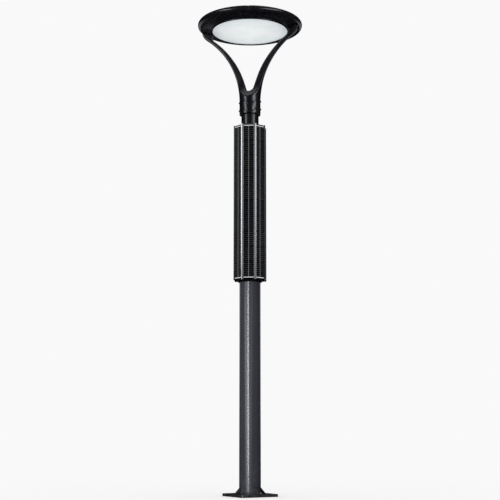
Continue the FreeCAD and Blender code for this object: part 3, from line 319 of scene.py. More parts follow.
def merged_copy(name, node):
    """A new piece with a part's own shape, its loose triangles merged."""
    piece = placed(name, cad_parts[node].data.copy())
    piece.data.materials.clear()
    merge(piece, flat=True)
    if piece.data.has_custom_normals:
        piece.data.attributes.remove(piece.data.attributes["custom_normal"])
    return piece


def settle(piece):
    """Makes a piece's modifiers part of its mesh."""
    bpy.context.view_layer.update()
    evaluated = piece.evaluated_get(bpy.context.evaluated_depsgraph_get())
    mesh = bpy.data.meshes.new_from_object(evaluated)
    piece.modifiers.clear()
    piece.data = mesh
    return piece


def wear(piece, slot):
    """Gives a piece the finish of a slot."""
    piece.data.materials.clear()
    piece.data.materials.append(finish(slot))


def fit_out(piece, body, slot, nodes=()):
    """Gives a piece its finish, the body that it rides on and the parts that it stands for."""
    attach(piece, body)
    wear(piece, slot)
    if nodes:
        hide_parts(*nodes)
    return piece


# ---------------------------------------------------------------- shading


def arithmetic(operation):
    """A method of Level that adds one Math node."""
    return lambda level, other: level.math(operation, other)


class Level:
    """A number that varies over a surface. Arithmetic on it adds the Math nodes that work it out."""

    __add__ = __radd__ = arithmetic("ADD")
    __mul__ = __rmul__ = arithmetic("MULTIPLY")
    __sub__ = arithmetic("SUBTRACT")
    __truediv__ = arithmetic("DIVIDE")
    above = arithmetic("GREATER_THAN")

    def __init__(self, coat, socket):
        self.coat, self.socket = coat, socket

    def math(self, operation, *others):
        values = dict(enumerate([self, *others]))
        return Level(self.coat, self.coat.node("ShaderNodeMath", values, operation=operation).outputs[0])

    def __rsub__(self, other):
        return self * -1 + other

    def ease(self, low, high):
        """0 at low and below, 1 at high and above, and smooth between."""
        values = {"Value": self, "From Min": low, "From Max": high}
        node = self.coat.node("ShaderNodeMapRange", values, interpolation_type="SMOOTHSTEP")
        return Level(self.coat, node.outputs[0])


def opaque(colour):
    """A colour with its alpha, or a node's socket as it is."""
    return colour if isinstance(colour, bpy.types.NodeSocket) else (*tuple(colour)[:3], 1)


class Coat:
    """One material and the nodes in it."""

    def __init__(self, name):
        self.material = bpy.data.materials.new(name)
        self.material.use_nodes = True
        self.tree = self.material.node_tree
        self.tree.nodes.clear()

    def node(self, kind, values=None, **settings):
        """Adds a node: its settings first, then the values or links of its sockets."""
        made = self.tree.nodes.new(kind)
        for name, setting in settings.items():
            setattr(made, name, setting)
        for name, entry in (values or {}).items():
            entry = entry.socket if isinstance(entry, Level) else entry
            if isinstance(entry, bpy.types.NodeSocket):
                self.tree.links.new(entry, made.inputs[name])
            else:
                made.inputs[name].default_value = entry
        return made

    def level(self, output, *node, **settings):
        """One output of a new node, as a number."""
        return Level(self, self.node(*node, **settings).outputs[output])

    def place(self, stretch=(1, 1, 1)):
        """Where a point is on the lamp, in metres, each axis stretched by a factor."""
        here = self.node("ShaderNodeTexCoord").outputs["Object"]
        if stretch == (1, 1, 1):
            return here
        return self.node("ShaderNodeVectorMath", {0: here, 1: stretch}, operation="MULTIPLY").outputs[0]

    def axis(self, name):
        """One coordinate of that place."""
        return self.level(name, "ShaderNodeSeparateXYZ", {0: self.place()})

    def radius(self):
        """Distance from the lamp's axis."""
        x, y = self.axis("X"), self.axis("Y")
        return (x * x + y * y).math("SQRT")

    def chart(self, name):
        """One coordinate of the piece's own map."""
        uv = self.node("ShaderNodeUVMap", uv_map="sheet").outputs[0]
        return self.level(name, "ShaderNodeSeparateXYZ", {0: uv})

    def noise(self, scale, detail=2.0, stretch=(1, 1, 1)):
        values = {"Vector": self.place(stretch), "Scale": scale, "Detail": detail}
        return self.level(0, "ShaderNodeTexNoise", values)

    def cells(self, scale):
        """Distance to the nearest of many scattered points."""
        return self.level("Distance", "ShaderNodeTexVoronoi", {"Vector": self.place(), "Scale": scale})

    def patches(self, scale):
        """A colour for each scattered patch, as one number."""
        node = self.node("ShaderNodeTexVoronoi", {"Vector": self.place(), "Scale": scale})
        return self.level(0, "ShaderNodeSeparateColor", {0: node.outputs["Color"]})

    def mix(self, share, low, high):
        """A colour between two, where a share of 0 gives the first."""
        values = {"Factor": share, 6: opaque(low), 7: opaque(high)}
        return self.node("ShaderNodeMix", values, data_type="RGBA").outputs[2]

    def drift(self, colour, share, low, high):
        """A colour between two shades of itself."""
        return self.mix(share, shade(colour, low), shade(colour, high))

    def relief(self, height, distance):
        """Bumps of a height from 0 to 1, as deep as the distance in metres."""
        return self.node("ShaderNodeBump", {"Height": height, "Distance": distance}).outputs[0]

    def done(self, **sockets):
        """The shader and the output. A name's underscores stand for spaces."""
        values = {name.replace("_", " "): entry for name, entry in sockets.items()}
        for name in {"Base Color", "Emission Color"} & set(values):
            values[name] = opaque(values[name])
        shader = self.node("ShaderNodeBsdfPrincipled", values)
        self.node("ShaderNodeOutputMaterial", {"Surface": shader.outputs[0]})
        return self.material


def shade(colour, factor):
    """A colour made lighter or darker."""
    return tuple(min(1.0, channel * factor) for channel in tuple(colour)[:3])


def powder_coat(coat, colour, gloss, peel=6e-6, dust=0.0):
    """Satin powder coat: a fine orange peel, slow drift in tone and gloss, faint rain streaks, and
    dust that has settled near the ground."""
    drift = coat.noise(5.0, 3.0)
    peel_height = coat.noise(520.0, 2.0)
    speck = coat.noise(1600.0, 1.0)
    streak = coat.noise(38.0, 3.0, (1, 1, 0.06)).ease(0.5, 0.75)
    paint = coat.drift(colour, drift, 0.82, 1.18)
    paint = coat.mix(streak * 0.06, paint, (0.09, 0.09, 0.095))
    paint = coat.mix(speck.ease(0.66, 0.78) * 0.06, paint, (0.10, 0.10, 0.11))
    rough = gloss + (drift - 0.5) * 0.05 + streak * 0.03
    if dust:
        low = (1 - coat.axis("Z").ease(0.0, 0.22)) * coat.noise(26.0, 4.0).ease(0.35, 0.75) * dust
        paint = coat.mix(low, paint, (0.16, 0.15, 0.14))
        rough = rough + low * 0.3
    return coat.done(Base_Color=paint, Roughness=rough, Normal=coat.relief(peel_height, peel))


def spangled_zinc(coat):
    """Hot-dip zinc: crystal patches of differing tone and gloss."""
    patch = coat.patches(140.0)
    fine = coat.noise(900.0, 2.0)
    tone = coat.mix(patch, (0.42, 0.44, 0.46), (0.62, 0.64, 0.66))
    rough = 0.34 + patch * 0.18 + fine * 0.06
    return coat.done(Base_Color=tone, Metallic=0.9, Roughness=rough, Normal=coat.relief(fine, 0.00003))


def turned_steel(coat, colour, metallic, rough):
    """Turned or drawn metal: fine scratches and a slight drift in tone."""
    scratch = coat.noise(2600.0, 2.0, (1, 1, 0.08))
    drift = coat.noise(60.0, 2.0)
    tone = coat.drift(colour, drift, 0.85, 1.12)
    rough = rough + (scratch - 0.5) * 0.16
    return coat.done(Base_Color=tone, Metallic=metallic, Roughness=rough, Normal=coat.relief(scratch, 2e-5))


def moulded(coat, colour, rough, grain=420.0, depth=0.00006):
    """Moulded plastic or rubber with a fine spark grain."""
    pits = coat.cells(grain)
    drift = coat.noise(22.0, 3.0)
    tone = coat.drift(colour, drift, 0.85, 1.2)
    rough = rough + (drift - 0.5) * 0.12 + pits * 0.05
    return coat.done(Base_Color=tone, Roughness=rough, Normal=coat.relief(pits, depth))


def rolled_aluminium(coat, colour, metallic, rough):
    """Extruded aluminium: die lines along its length under a satin anodised skin."""
    die = coat.noise(1500.0, 2.0, (1, 1, 0.01))
    drift = coat.noise(9.0, 3.0, (1, 1, 0.3))
    tone = coat.drift(colour, drift, 0.9, 1.06)
    tone = coat.mix(die.ease(0.55, 0.7) * 0.25, tone, shade(colour, 0.7))
    rough = rough + (die - 0.5) * 0.14
    return coat.done(Base_Color=tone, Metallic=metallic, Roughness=rough, Normal=coat.relief(die, 0.00002))


def circuit_board(coat, mask, track):
    """Solder mask with tracks under it and small bright pads on a grid."""
    tracks = coat.noise(260.0, 0.0, (1, 0.25, 1)).ease(0.52, 0.54)
    pads = coat.cells(190.0)
    shown = 1 - pads.ease(0.10, 0.14)
    tone = coat.mix(tracks, mask, track)
    tone = coat.mix(shown, tone, (0.62, 0.60, 0.55))
    rough, relief = 0.42 - shown * 0.15, coat.relief(tracks + shown, 0.00003)
    return coat.done(Base_Color=tone, Roughness=rough, Metallic=shown * 0.8, Normal=relief)


def solar_laminate(coat):
    """Cells under glass. On the panel's own map, across from its middle and up from its foot: black
    silicon in cells, fine printed lines at an even pitch, one tinned ribbon down the middle, a gap
    between cells, a dark margin along the edges, and the white sheet showing at the ends."""
    c = colours()
    across, up = coat.chart("X"), coat.chart("Y")
    bottom, top = span("solar_panel_1")
    tall = top - bottom
    pitch, cell_tall, first_cell = 0.0104, 0.0832, 0.006
    side = across.math("ABSOLUTE")
    line = (up / pitch).math("FRACT")
    fingers = line.ease(0.40, 0.45) * (1 - line.ease(0.60, 0.65))
    cell = (up - first_cell) / cell_tall
    seed = coat.node("ShaderNodeCombineXYZ", {0: cell.math("FLOOR"), 1: across.above(0.0)})
    chance = coat.level(0, "ShaderNodeTexWhiteNoise", {"Vector": seed.outputs[0]})
    within = cell.math("FRACT")
    gap = 1 - within.ease(0.004, 0.012) * (1 - within.ease(0.988, 0.996))
    patchy = coat.noise(70.0, 2.0)
    ribbon = 1 - side.ease(0.0014, 0.0018)
    margin = side.ease(0.0262, 0.0268)
    to_end = tall / 2 - (up - tall / 2).math("ABSOLUTE")
    ends = to_end.ease(0.0032, 0.0038) * (1 - to_end.ease(0.0068, 0.0074)) * (1 - margin)
    trim = 1 - to_end.ease(0.0070, 0.0076)
    silicon = coat.mix(chance * 0.75 + patchy * 0.25, c.cell, c.cell_green)
    strength = (0.07 + chance * 0.22 + coat.noise(9.0, 2.0) * 0.18) * fingers * (1 - gap)
    tone = coat.mix(strength, silicon, c.finger)
    tone = coat.mix(gap * 0.5, tone, (0.012, 0.013, 0.016))
    tone = coat.mix(margin, tone, (0.006, 0.006, 0.008))
    tone = coat.mix(ribbon, tone, c.ribbon)
    tone = coat.mix(trim, tone, (0.004, 0.004, 0.005))
    tone = coat.mix(ends, tone, c.sheet_edge)
    rough = 0.12 + fingers * 0.06 + ribbon * 0.14 + (patchy - 0.5) * 0.03
    height = fingers * 0.3 + ribbon - gap * 0.3
    return coat.done(
        Base_Color=tone, Metallic=ribbon * (1 - trim) * 0.4, Roughness=rough, Specular_IOR_Level=0.14,
        Normal=coat.relief(height, 0.00004),
    )


def opal_diffuser(coat):
    """Frosted opal sheet lit from behind: brighter over the middle, faint warm and cool clouds where
    the diodes sit, and a greyer rim."""
    c = colours()
    reach = coat.radius()
    rim = reach.ease(0.165, 0.211)
    cloud = coat.noise(11.0, 2.0)
    frost = coat.noise(1400.0, 2.0)
    ridges = 480
    prism = (coat.axis("X") * ridges).math("SINE") * (coat.axis("Y") * ridges).math("SINE")
    tone = coat.mix(rim, c.lens, c.lens_rim)
    tone = coat.mix(cloud.ease(0.35, 0.7) * 0.6, tone, (0.70, 0.78, 0.77))
    tone = coat.mix(prism.ease(0.0, 0.8) * (rim * 0.40 + 0.04), tone, (0.40, 0.45, 0.46))
    glow = coat.mix(reach.ease(0.02, 0.21), (1.0, 1.0, 1.0), (0.42, 0.46, 0.48))
    return coat.done(
        Base_Color=tone, Roughness=0.46 + frost * 0.08, Emission_Color=glow, Emission_Strength=0.19,
        Normal=coat.relief(frost, 0.00002),
    )


def phosphor(coat):
    """Yellow phosphor over the diodes, with a soft domed grain."""
    grain = coat.noise(2400.0, 2.0)
    tone = coat.mix(grain, (0.72, 0.55, 0.10), (0.86, 0.72, 0.22))
    rough, glow = 0.35 + grain * 0.15, (1.0, 0.93, 0.72)
    return coat.done(Base_Color=tone, Roughness=rough, Emission_Color=glow, Emission_Strength=0.6)


def shrink_wrap(coat):
    """Shrink-wrapped cells: a glossy sleeve with faint folds."""
    fold = coat.noise(120.0, 3.0, (1, 1, 0.2))
    tone = coat.mix(fold, (0.02, 0.09, 0.19), (0.03, 0.14, 0.27))
    return coat.done(Base_Color=tone, Roughness=0.22 + fold * 0.12, Normal=coat.relief(fold, 0.0001))


# Only these rails wear the silver anodised finish. The other four are the same rail in a dark, duller copy of
# it, which is painted shade.
SILVER_RAILS = (1, 4, 5, 8)


def numbered(name, numbers):
    """The names of a row of parts."""
    return " ".join(f"{name}_{number}" for number in numbers)


# A slot's material name, the parts that wear it, its recipe and what the recipe is given. A name
# among those stands for one of the lamp's colours.
SLOTS = {
    "plate_paint": ("plate powder coat", "base_plate base_gussets", powder_coat,
                    "plate_paint", 0.34, 6e-6, 0.12),
    "pole_paint": ("pole powder coat", "pole_tube", powder_coat, "pole_paint", 0.24, 1.5e-6, 0.10),
    "mast_paint": ("neck powder coat", "mast_tube", powder_coat, "mast_paint", 0.27, 2e-6),
    "zinc_steel": ("galvanised steel", "battery_shelf mast_ring_upper mast_ring_lower controller_bracket",
                   spangled_zinc),
    "stainless": ("stainless steel", "mast_bolts foot_bolts hinge_pin_rod latch_pin_rod latch_spring",
                  turned_steel, (0.60, 0.60, 0.61), 1.0, 0.30),
    "black_screws": ("blackened screws", "collar_screws", turned_steel, (0.05, 0.05, 0.055), 0.6, 0.36),
    "case_plastic": ("case plastic", "battery_case battery_case_lid cell_spacers junction_boxes cable_gland",
                     moulded, (0.035, 0.036, 0.038), 0.5),
    "cell_wrap": ("cell wrap", "battery_cells", shrink_wrap),
    "board_green": ("green board", "battery_board", circuit_board, (0.012, 0.09, 0.03), (0.02, 0.16, 0.05)),
    "unit_case": ("unit case", "charge_controller led_driver", rolled_aluminium,
                  (0.30, 0.31, 0.33), 0.8, 0.42),
    "cable_jacket": ("cable jacket", "mast_cable", moulded, "rubber", 0.45, 700.0, 0.00003),
    "plain_aluminium": ("plain aluminium", "column_carrier heat_sink", rolled_aluminium,
                        (0.62, 0.63, 0.65), 0.95, 0.36),
    "solar_laminate": ("solar laminate", numbered("solar_panel", range(1, 9)), solar_laminate),
    "rail_aluminium": ("anodised rail", numbered("corner_rail", SILVER_RAILS), rolled_aluminium,
                       "rail", 0.8, 0.27),
    # The same extruded rail as the silver ones, in a darker, less metallic and rougher copy: painted shade.
    "dark_rail": ("dark anodised rail", numbered("corner_rail", set(range(1, 9)) - set(SILVER_RAILS)),
                  rolled_aluminium, "dark_rail", 0.2, 0.42),
    "cap_paint": ("cap powder coat", "column_top_cap column_bottom_cap", powder_coat, "cap_paint", 0.4),
    "seal_rubber": ("seal rubber", "neck_seal pole_seal lens_gasket lid_gasket", moulded,
                    "rubber", 0.62, 900.0, 0.00003),
    "head_paint": ("head powder coat", "yoke head_housing bezel_ring lid latch_lever", powder_coat,
                   "head_paint", 0.26, 2e-6),
    "opal_diffuser": ("opal diffuser", "lens_diffuser", opal_diffuser),
    "white_liner": ("white liner", "light_box_liner", moulded, (0.80, 0.80, 0.79), 0.5, 300.0, 0.00003),
    "board_white": ("white board", "led_board", circuit_board, (0.76, 0.76, 0.74), (0.70, 0.70, 0.66)),
    "led_phosphor": ("phosphor", "led_chips", phosphor),
}


@cache
def finish(slot):
    """The material of a slot, made when it is first asked for."""
    name, _, recipe, *given = SLOTS[slot]
    c = colours()
    return recipe(Coat(name), *[getattr(c, entry) if isinstance(entry, str) else entry for entry in given])


# ---------------------------------------------------------------- pieces


class LAMP_OT_foot(bpy.types.Operator):
    """Builds the base plate, its gussets and the weld bead, with softened edges"""

    bl_idname = "lamp.foot"
    bl_label = "Build foot"

    def execute(self, context):
        s = sizes()
        for name, soft in (("plate", 0.0016), ("gussets", 0.0009)):
            node = f"base_{name}"
            piece = merged_copy(f"foot_{name}", node)
            bevel = piece.modifiers.new("soft edges", "BEVEL")
            bevel.width, bevel.segments, bevel.limit_method = soft, 3, "ANGLE"
            bevel.angle_limit = math.radians(35)
            settle(piece)
            tidy(piece, 30.0)
            fit_out(piece, "root", "plate_paint", [node])
        bead = self.weld_bead(s.pole_radius, edge("base_plate", 1, 2), s.weld_leg)
        fit_out(bead, "root", "pole_paint")
        return {"FINISHED"}

    def weld_bead(self, radius, level, leg):
        """A fillet of weld: a bulged triangle of side leg carried round the pole, its size rippled by
        3% along the way as the torch left it."""
        buried, toe = 0.002, 0.0006
        outline = np.array([(-buried, -buried / 2), (leg, -buried / 2), (leg * 0.95, toe),
                            (leg * 0.62, leg * 0.62), (toe, leg * 0.95), (-buried, leg)])
        u = np.linspace(0, FULL_TURN, 480, endpoint=False)[:, None]
        ripple = 1 + 0.03 * np.sin(150 * u) + 0.02 * np.sin(7 * u + 1)
        r = radius + outline[None, :, 0] * ripple
        z = level + outline[None, :, 1] * ripple
        grid = np.stack([r * np.cos(u), r * np.sin(u), z], -1)
        return surface("foot_weld", grid, around=(True, True), sharp=70.0)


class LAMP_OT_tubes(bpy.types.Operator):
    """Builds the lower pole and the neck tube"""

    bl_idname = "lamp.tubes"
    bl_label = "Build tubes"

    def execute(self, context):
        s = sizes()
        rim, steps = 0.0006, 256
        for name, node, radius, wall, slot in (
            ("pole", "pole_tube", s.pole_radius, s.pole_wall, "pole_paint"),
            ("neck", "mast_tube", s.neck_radius, s.neck_wall, "mast_paint"),
        ):
            outline = rounded(rectangle(radius - wall, radius, *span(node)), rim, 3)
            fit_out(revolve(name, outline, steps=steps), "root", slot, [node])
        return {"FINISHED"}


class LAMP_OT_column(bpy.types.Operator):
    """Builds the eight solar panels, their corner rails and the two end caps"""

    bl_idname = "lamp.column"
    bl_label = "Build column"

    def execute(self, context):
        step = FULL_TURN / 8
        first = sizes().column_turn - math.pi / 2
        for number in range(8):
            self.panel(number + 1, first + step * number)
            self.rail(number + 1, first + step * (number + 0.5))
        self.cap("column_top_cap", edge("column_carrier", 1, 2), 1)
        self.cap("column_bottom_cap", edge("column_carrier", 0, 2), -1)
        return {"FINISHED"}

    def panel(self, number, angle):
        """One laminate. Its map is metres across from the middle and up from the foot."""
        s = sizes()
        node = f"solar_panel_{number}"
        bottom, top = span(node)
        out, side = directions(angle)
        thick = s.panel_face - s.panel_back
        half, tall = s.panel_wide / 2, (top - bottom) / 2
        outline = rounded(rectangle(-half, half, -tall, tall), 0.001, 3)
        middle = out * (s.panel_back + thick / 2) + np.array([0, 0, (bottom + top) / 2])
        piece = slab(f"panel_{number}", outline, thick, 0.0005, middle, side, (0, 0, 1), np.array([0, tall]))
        fit_out(piece, "root", "solar_laminate", [node])

    def rail(self, number, angle):
        """One corner rail: two lips at 45 degrees to each other, over a web that lies between the
        panels, with its edges rounded."""
        s = sizes()
        half_step = math.pi / 8
        cosine, sine = math.cos(half_step), math.sin(half_step)
        nose = s.column_flat / cosine
        tip = (nose - s.rail_lip * sine, s.rail_lip * cosine)
        under = (tip[0] - s.rail_thick * cosine, tip[1] - s.rail_thick * sine)
        web = 0.0015
        root = ((s.column_flat - s.rail_thick - web * sine) / cosine, web)
        foot = ((s.panel_back - web * sine) / cosine, web)
        right = [(nose, 0), tip, under, root, foot]
        left = [(x, -y) for x, y in reversed(right[1:])]
        lip_soft, web_soft = [0.0006] * 2, [0.0003] * 4
        soft = [0.0012] + lip_soft + web_soft + lip_soft
        outline = rounded(right + left, soft, 3)
        out, side = directions(angle)
        flat = outline[:, :1] * out[:2] + outline[:, 1:] * side[:2]
        node = f"corner_rail_{number}"
        piece = bar(f"rail_{number}", flat, *span(node))
        # Rails outside SILVER_RAILS get the darker copy of the rail finish, which is painted shade.
        fit_out(piece, "root", "rail_aluminium" if number in SILVER_RAILS else "dark_rail", [node])

    def cap(self, node, level, way):
        """An end cap: an eight-sided plate on the column's end, and a round lip that closes on the
        tube, drawn in from its foot to its crest."""
        s = sizes()
        wide = s.cap_flat / math.cos(math.pi / 8)
        angles = s.column_turn - math.pi / 2 + FULL_TURN / 8 * (np.arange(8) + 0.5)
        corners = np.stack([wide * np.cos(angles), wide * np.sin(angles)], -1)
        plate = slab(
            f"{node}_plate", rounded(corners, 0.002, 3), s.cap_thick, 0.0008,
            (0, 0, level + way * s.cap_thick / 2), (1, 0, 0), (0, 1, 0),
        )
        fit_out(plate, "root", "cap_paint", [node])
        play, buried, crest = 0.003, -0.0005, s.lip_tall - 0.0006
        bore = (s.neck_radius if way > 0 else s.pole_radius) + play
        outline = np.vstack([
            [(bore - 0.001, buried), (bore + s.lip_wide, buried)],
            arc(bore + 0.001, buried, s.lip_wide - 0.001, 8, 78, 10),
            [(bore + 0.0012, crest), (bore - 0.001, crest)],
        ])
        outline[:, 1] = np.clip(outline[:, 1] * 1.2, None, s.lip_tall)
        if way < 0:
            outline = (outline * [1, -1])[::-1]
        lip = revolve(f"{node}_lip", outline, level + way * s.cap_thick, 192)
        fit_out(lip, "root", "rail_aluminium" if way > 0 else "cap_paint")


class LAMP_OT_fork(bpy.types.Operator):
    """Builds the cast fork with soft edges, and the grooved collar at its foot"""

    bl_idname = "lamp.fork"
    bl_label = "Build fork"

    def execute(self, context):
        s = sizes()
        fork = merged_copy("fork", "yoke")
        cast = fork.modifiers.new("cast", "REMESH")
        cast.mode, cast.voxel_size, cast.adaptivity = "VOXEL", s.casting_grain, 0.0
        settle(fork)
        soften = fork.modifiers.new("soften", "SMOOTH")
        soften.factor, soften.iterations = 0.5, 14
        settle(fork)
        self.shape_casting(fork.data, edge("yoke", 0, 2))
        tidy(fork, 60.0)
        fit_out(fork, "head", "head_paint", ["yoke"])
        fit_out(self.collar(edge("yoke", 0, 2)), "head", "head_paint")
        return {"FINISHED"}

    def shape_casting(self, mesh, foot):
        """Draws the casting 1.4 mm inwards at the collar, easing out at its top, so that the turned
        collar covers it. Then spreads the arms' feet to meet the rim: a point that is both high and
        far out in x moves out by 11 mm times its eased height times its eased reach."""
        s = sizes()
        tuck, tuck_ease, tuck_wall, tuck_level, lift = 0.0014, 0.004, 0.004, 0.02, 0.0008
        spread, spread_level, spread_rise, spread_start, spread_run = 0.011, 0.452, 0.040, 0.235, 0.030
        points = np.zeros(len(mesh.vertices) * 3, np.float32)
        mesh.vertices.foreach_get("co", points)
        points = points.reshape(-1, 3)
        reach = np.hypot(points[:, 0], points[:, 1])
        height = points[:, 2] - foot
        low = np.clip((s.collar_tall - height) / tuck_ease, 0, 1) * (reach > s.collar_radius - tuck_wall)
        points[:, :2] *= (1 - low * tuck / np.maximum(reach, 0.001))[:, None]
        points[:, 2] = np.maximum(points[:, 2], foot + lift * (height < tuck_level))
        height = np.clip((points[:, 2] - foot - spread_level) / spread_rise, 0, 1)
        reach = np.clip((np.abs(points[:, 0]) - spread_start) / spread_run, 0, 1)
        points[:, 0] += np.sign(points[:, 0]) * spread * height * reach**2 * (3 - 2 * reach)
        mesh.vertices.foreach_set("co", points.ravel())

    def collar(self, foot):
        """The collar: a turned ring with two square grooves and chamfered ends."""
        s = sizes()
        outer, inner, deep = s.collar_radius, s.neck_radius + 0.0001, s.groove_deep
        chamfer, shoulder, shoulder_tall = 0.0012, 0.0022, 0.0035
        corners = [(inner, 0), (outer - chamfer, 0), (outer, chamfer)]
        for low in (0.017, 0.067):
            high = low + s.groove_tall
            corners += [(outer, low), (outer - deep, low), (outer - deep, high), (outer, high)]
        top = s.collar_tall + shoulder_tall
        corners += [(outer, s.collar_tall), (outer - shoulder, top), (inner, top)]
        return revolve("collar", rounded(corners, 0.0003, 3), foot, 256, sharp=50.0)


class LAMP_OT_head(bpy.types.Operator):
    """Builds the head's lower half, the bezel, the lens and the lid with its scoop and hinge"""

    bl_idname = "lamp.head"
    bl_label = "Build head"

    def execute(self, context):
        self.housing()
        self.lens()
        self.lid()
        return {"FINISHED"}

    def under(self, reach):
        """Height of the sloping underside at a distance from the axis."""
        s = sizes()
        share = (s.nose_reach - reach) / (s.nose_reach - s.bezel_seat)
        return -s.nose_radius - share * 0.014

    def fin(self, name, outline, soft, thick, bead, angle, aside=0.0, steps=3):
        """A plate that stands on a line from the axis, or aside of it. Its outline is in distance
        from the axis and height over the head's level."""
        out, side = directions(angle)
        middle = side * aside + np.array([0, 0, HEAD_LEVEL])
        return slab(name, rounded(outline, soft, steps), thick, bead, middle, out, (0, 0, 1))

    def housing(self):
        """The lower half: a rounded rim over a sloping underside, the lens seat and the light box's
        wall, with the two bosses for the fork, the hinge ears and the latch's keeper."""
        s = sizes()
        bore = s.nose_radius - s.shell
        rise = math.degrees(math.asin(s.split / s.nose_radius))
        rise_in = math.degrees(math.asin(s.split / bore))
        seat_wide, seat_level, slip = 0.004, -0.0265, 0.0006
        box_out, box_in, box_top, ledge = 0.204, 0.2, -0.012, -0.0235
        wall, lip = s.bezel_seat, s.bezel_seat + seat_wide
        seat = [(wall, seat_level), (wall, self.under(wall)), (lip, self.under(lip))]
        outline = np.vstack([
            [(box_in, box_top), (box_in, seat_level)],
            rounded(seat, 0.0007, 3, closed=False),
            arc(s.nose_reach, 0, s.nose_radius, -104, rise - 4, 44),
            arc(s.nose_reach - slip, 0, s.nose_radius - slip, rise - 1, rise, 2) + [0, -0.0002],
            arc(s.nose_reach, 0, bore, rise_in, -90, 24),
            [(wall + 0.006, ledge), (box_out, ledge), (box_out, box_top)],
        ])
        pieces = [revolve("rim", outline, HEAD_LEVEL)]
        near, far, raised, boss_top = 0.2175, 0.265, 0.0015, -0.013
        boss = [(near, self.under(near) + raised), (far, self.under(far) + raised),
                (far, boss_top), (near, boss_top)]
        ear = [(0.2885, -0.004), (0.2985, -0.004), (0.3038, 0.0005), (0.3038, 0.0075), (0.2995, 0.0099),
               (0.2950, 0.0096), (0.2921, 0.0065), (0.2919, 0.0027), (0.2885, 0.0027)]
        hinge, ear_apart = s.latch_turn + math.pi, 0.0214
        for side in (1, -1):
            pieces.append(self.fin(f"boss_{side}", boss, 0.0015, 0.028, 0.001, (1 - side) * math.pi / 2))
        for side in (1, -1):
            pieces.append(self.fin(f"ear_{side}", ear, 0.0012, 0.012, 0.0007, hinge, side * ear_apart))
        keeper = rectangle(0.2800, 0.2872, -0.0097, -0.0067)
        pieces.append(self.fin("keeper", keeper, 0.0004, 0.0126, 0.0004, s.latch_turn, steps=2))
        fit_out(joined("housing", pieces), "head", "head_paint", ["head_housing"])

    def lens(self):
        """The bezel is a ring with a rounded outer corner and a thin lip over the lens; the lens is a
        disc that bows down by a third of a millimetre, with a polished edge."""
        s = sizes()
        wall = s.bezel_radius - s.bezel_wall
        lip = wall - s.bezel_lip
        foot, top, face = -0.0345, -0.0265, -LENS_DEPTH
        ring = rounded([(lip, foot), (s.bezel_radius, foot), (s.bezel_radius, top), (wall, top), (wall, face),
                        (lip, face)], [0.0006, 0.0014, 0.0003, 0.0003, 0.0003, 0.0004], 5)
        fit_out(revolve("bezel", ring, HEAD_LEVEL), "head", "head_paint", ["bezel_ring"])
        polish, sag, side, back = s.lens_radius - 0.0006, 0.0003, -0.0290, -0.0285
        reach = np.linspace(0, polish, 24)
        bow = face - sag + sag * (reach / s.lens_radius) ** 2
        outline = np.vstack([
            np.stack([reach, bow], -1),
            [(s.lens_radius, -0.0320), (s.lens_radius, side), (polish, back), (0, back)],
        ])
        lens = revolve("lens", outline, HEAD_LEVEL, closed=False)
        fit_out(lens, "head", "opal_diffuser", ["lens_diffuser"])

    def lid(self):
        """The lid as one shell: along its inside from the axis to the seat, then over the rim and
        back along the dome z = top - R + sqrt(R^2 - r^2). Over the latch the outside is lowered to
        the scoop's floor, easing over 0.6 mm at its sides."""
        s = sizes()
        bore = s.nose_radius - s.shell
        ball = (s.nose_reach**2 + s.dome_rise**2) / (2 * s.dome_rise)
        seat = math.degrees(math.asin(s.lid_seat / s.nose_radius))
        seat_in = math.degrees(math.asin(s.lid_seat / bore))
        reach = np.linspace(0, s.nose_reach, 70)
        dome = np.sqrt(ball**2 - reach**2) - ball + s.dome_rise
        inside = np.vstack([np.stack([reach, bore + dome], -1), arc(s.nose_reach, 0, bore, 88, seat_in, 20)])
        edge_reach = s.nose_reach + s.nose_radius
        lip = [(edge_reach - 0.0012, s.lid_seat), (edge_reach - 0.0006, s.lid_seat + 0.0001)]
        outside = np.vstack([arc(s.nose_reach, 0, s.nose_radius, seat + 2, 88, 36),
                             np.stack([reach, s.nose_radius + dome], -1)[::-1]])
        outline = np.vstack([inside, lip, outside])
        fine = 0.045
        even = np.linspace(-math.pi, math.pi, s.round_steps, endpoint=False)
        near = np.linspace(-fine, fine, 121)
        u = np.sort(np.concatenate([even[np.abs(even) > fine + 0.001], near]))[:, None]
        r, z = outline[None, :, 0] + 0 * u, outline[None, :, 1] + 0 * u
        side_ease, end_ease, nose_start, nose_floor, scoop_skin = 0.0006, 0.0008, 0.2785, 0.0060, 0.0018
        low = 1 - np.clip((np.abs(u) * r - s.scoop_wide / 2) / side_ease, 0, 1)
        low *= np.clip((r - s.scoop_reach) / end_ease, 0, 1)
        floor = np.where(r > nose_start, nose_floor, s.scoop_level)
        floor = floor - scoop_skin * (np.arange(len(outline)) < len(inside))
        z = z + (np.minimum(z, floor) - z) * low
        angle = u + s.latch_turn
        grid = np.stack([r * np.cos(angle), r * np.sin(angle), z + HEAD_LEVEL], -1)
        shell = surface("lid_shell", grid, around=(True, False), sharp=40.0)
        knuckle = [(0.2850, 0.0043), (0.2922, 0.0043), (0.2922, 0.0015), (0.2958, -0.0019), (0.3000, -0.0019),
                   (0.3038, 0.0018), (0.3038, 0.0065), (0.3003, 0.0099), (0.2850, 0.0099)]
        link = self.fin("knuckle", knuckle, 0.0014, 0.030, 0.0006, s.latch_turn + math.pi, steps=4)
        fit_out(joined("lid_cover", [shell, link]), "lid", "head_paint", ["lid"])


class LAMP_OT_finishes(bpy.types.Operator):
    """Gives every part that still shows its own finish"""

    bl_idname = "lamp.finishes"
    bl_label = "Apply finishes"

    def execute(self, context):
        for slot, (_, names, *_) in SLOTS.items():
            for name in names.split():
                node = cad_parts[name]
                if not node.hide_render:
                    wear(node, slot)
        return {"FINISHED"}


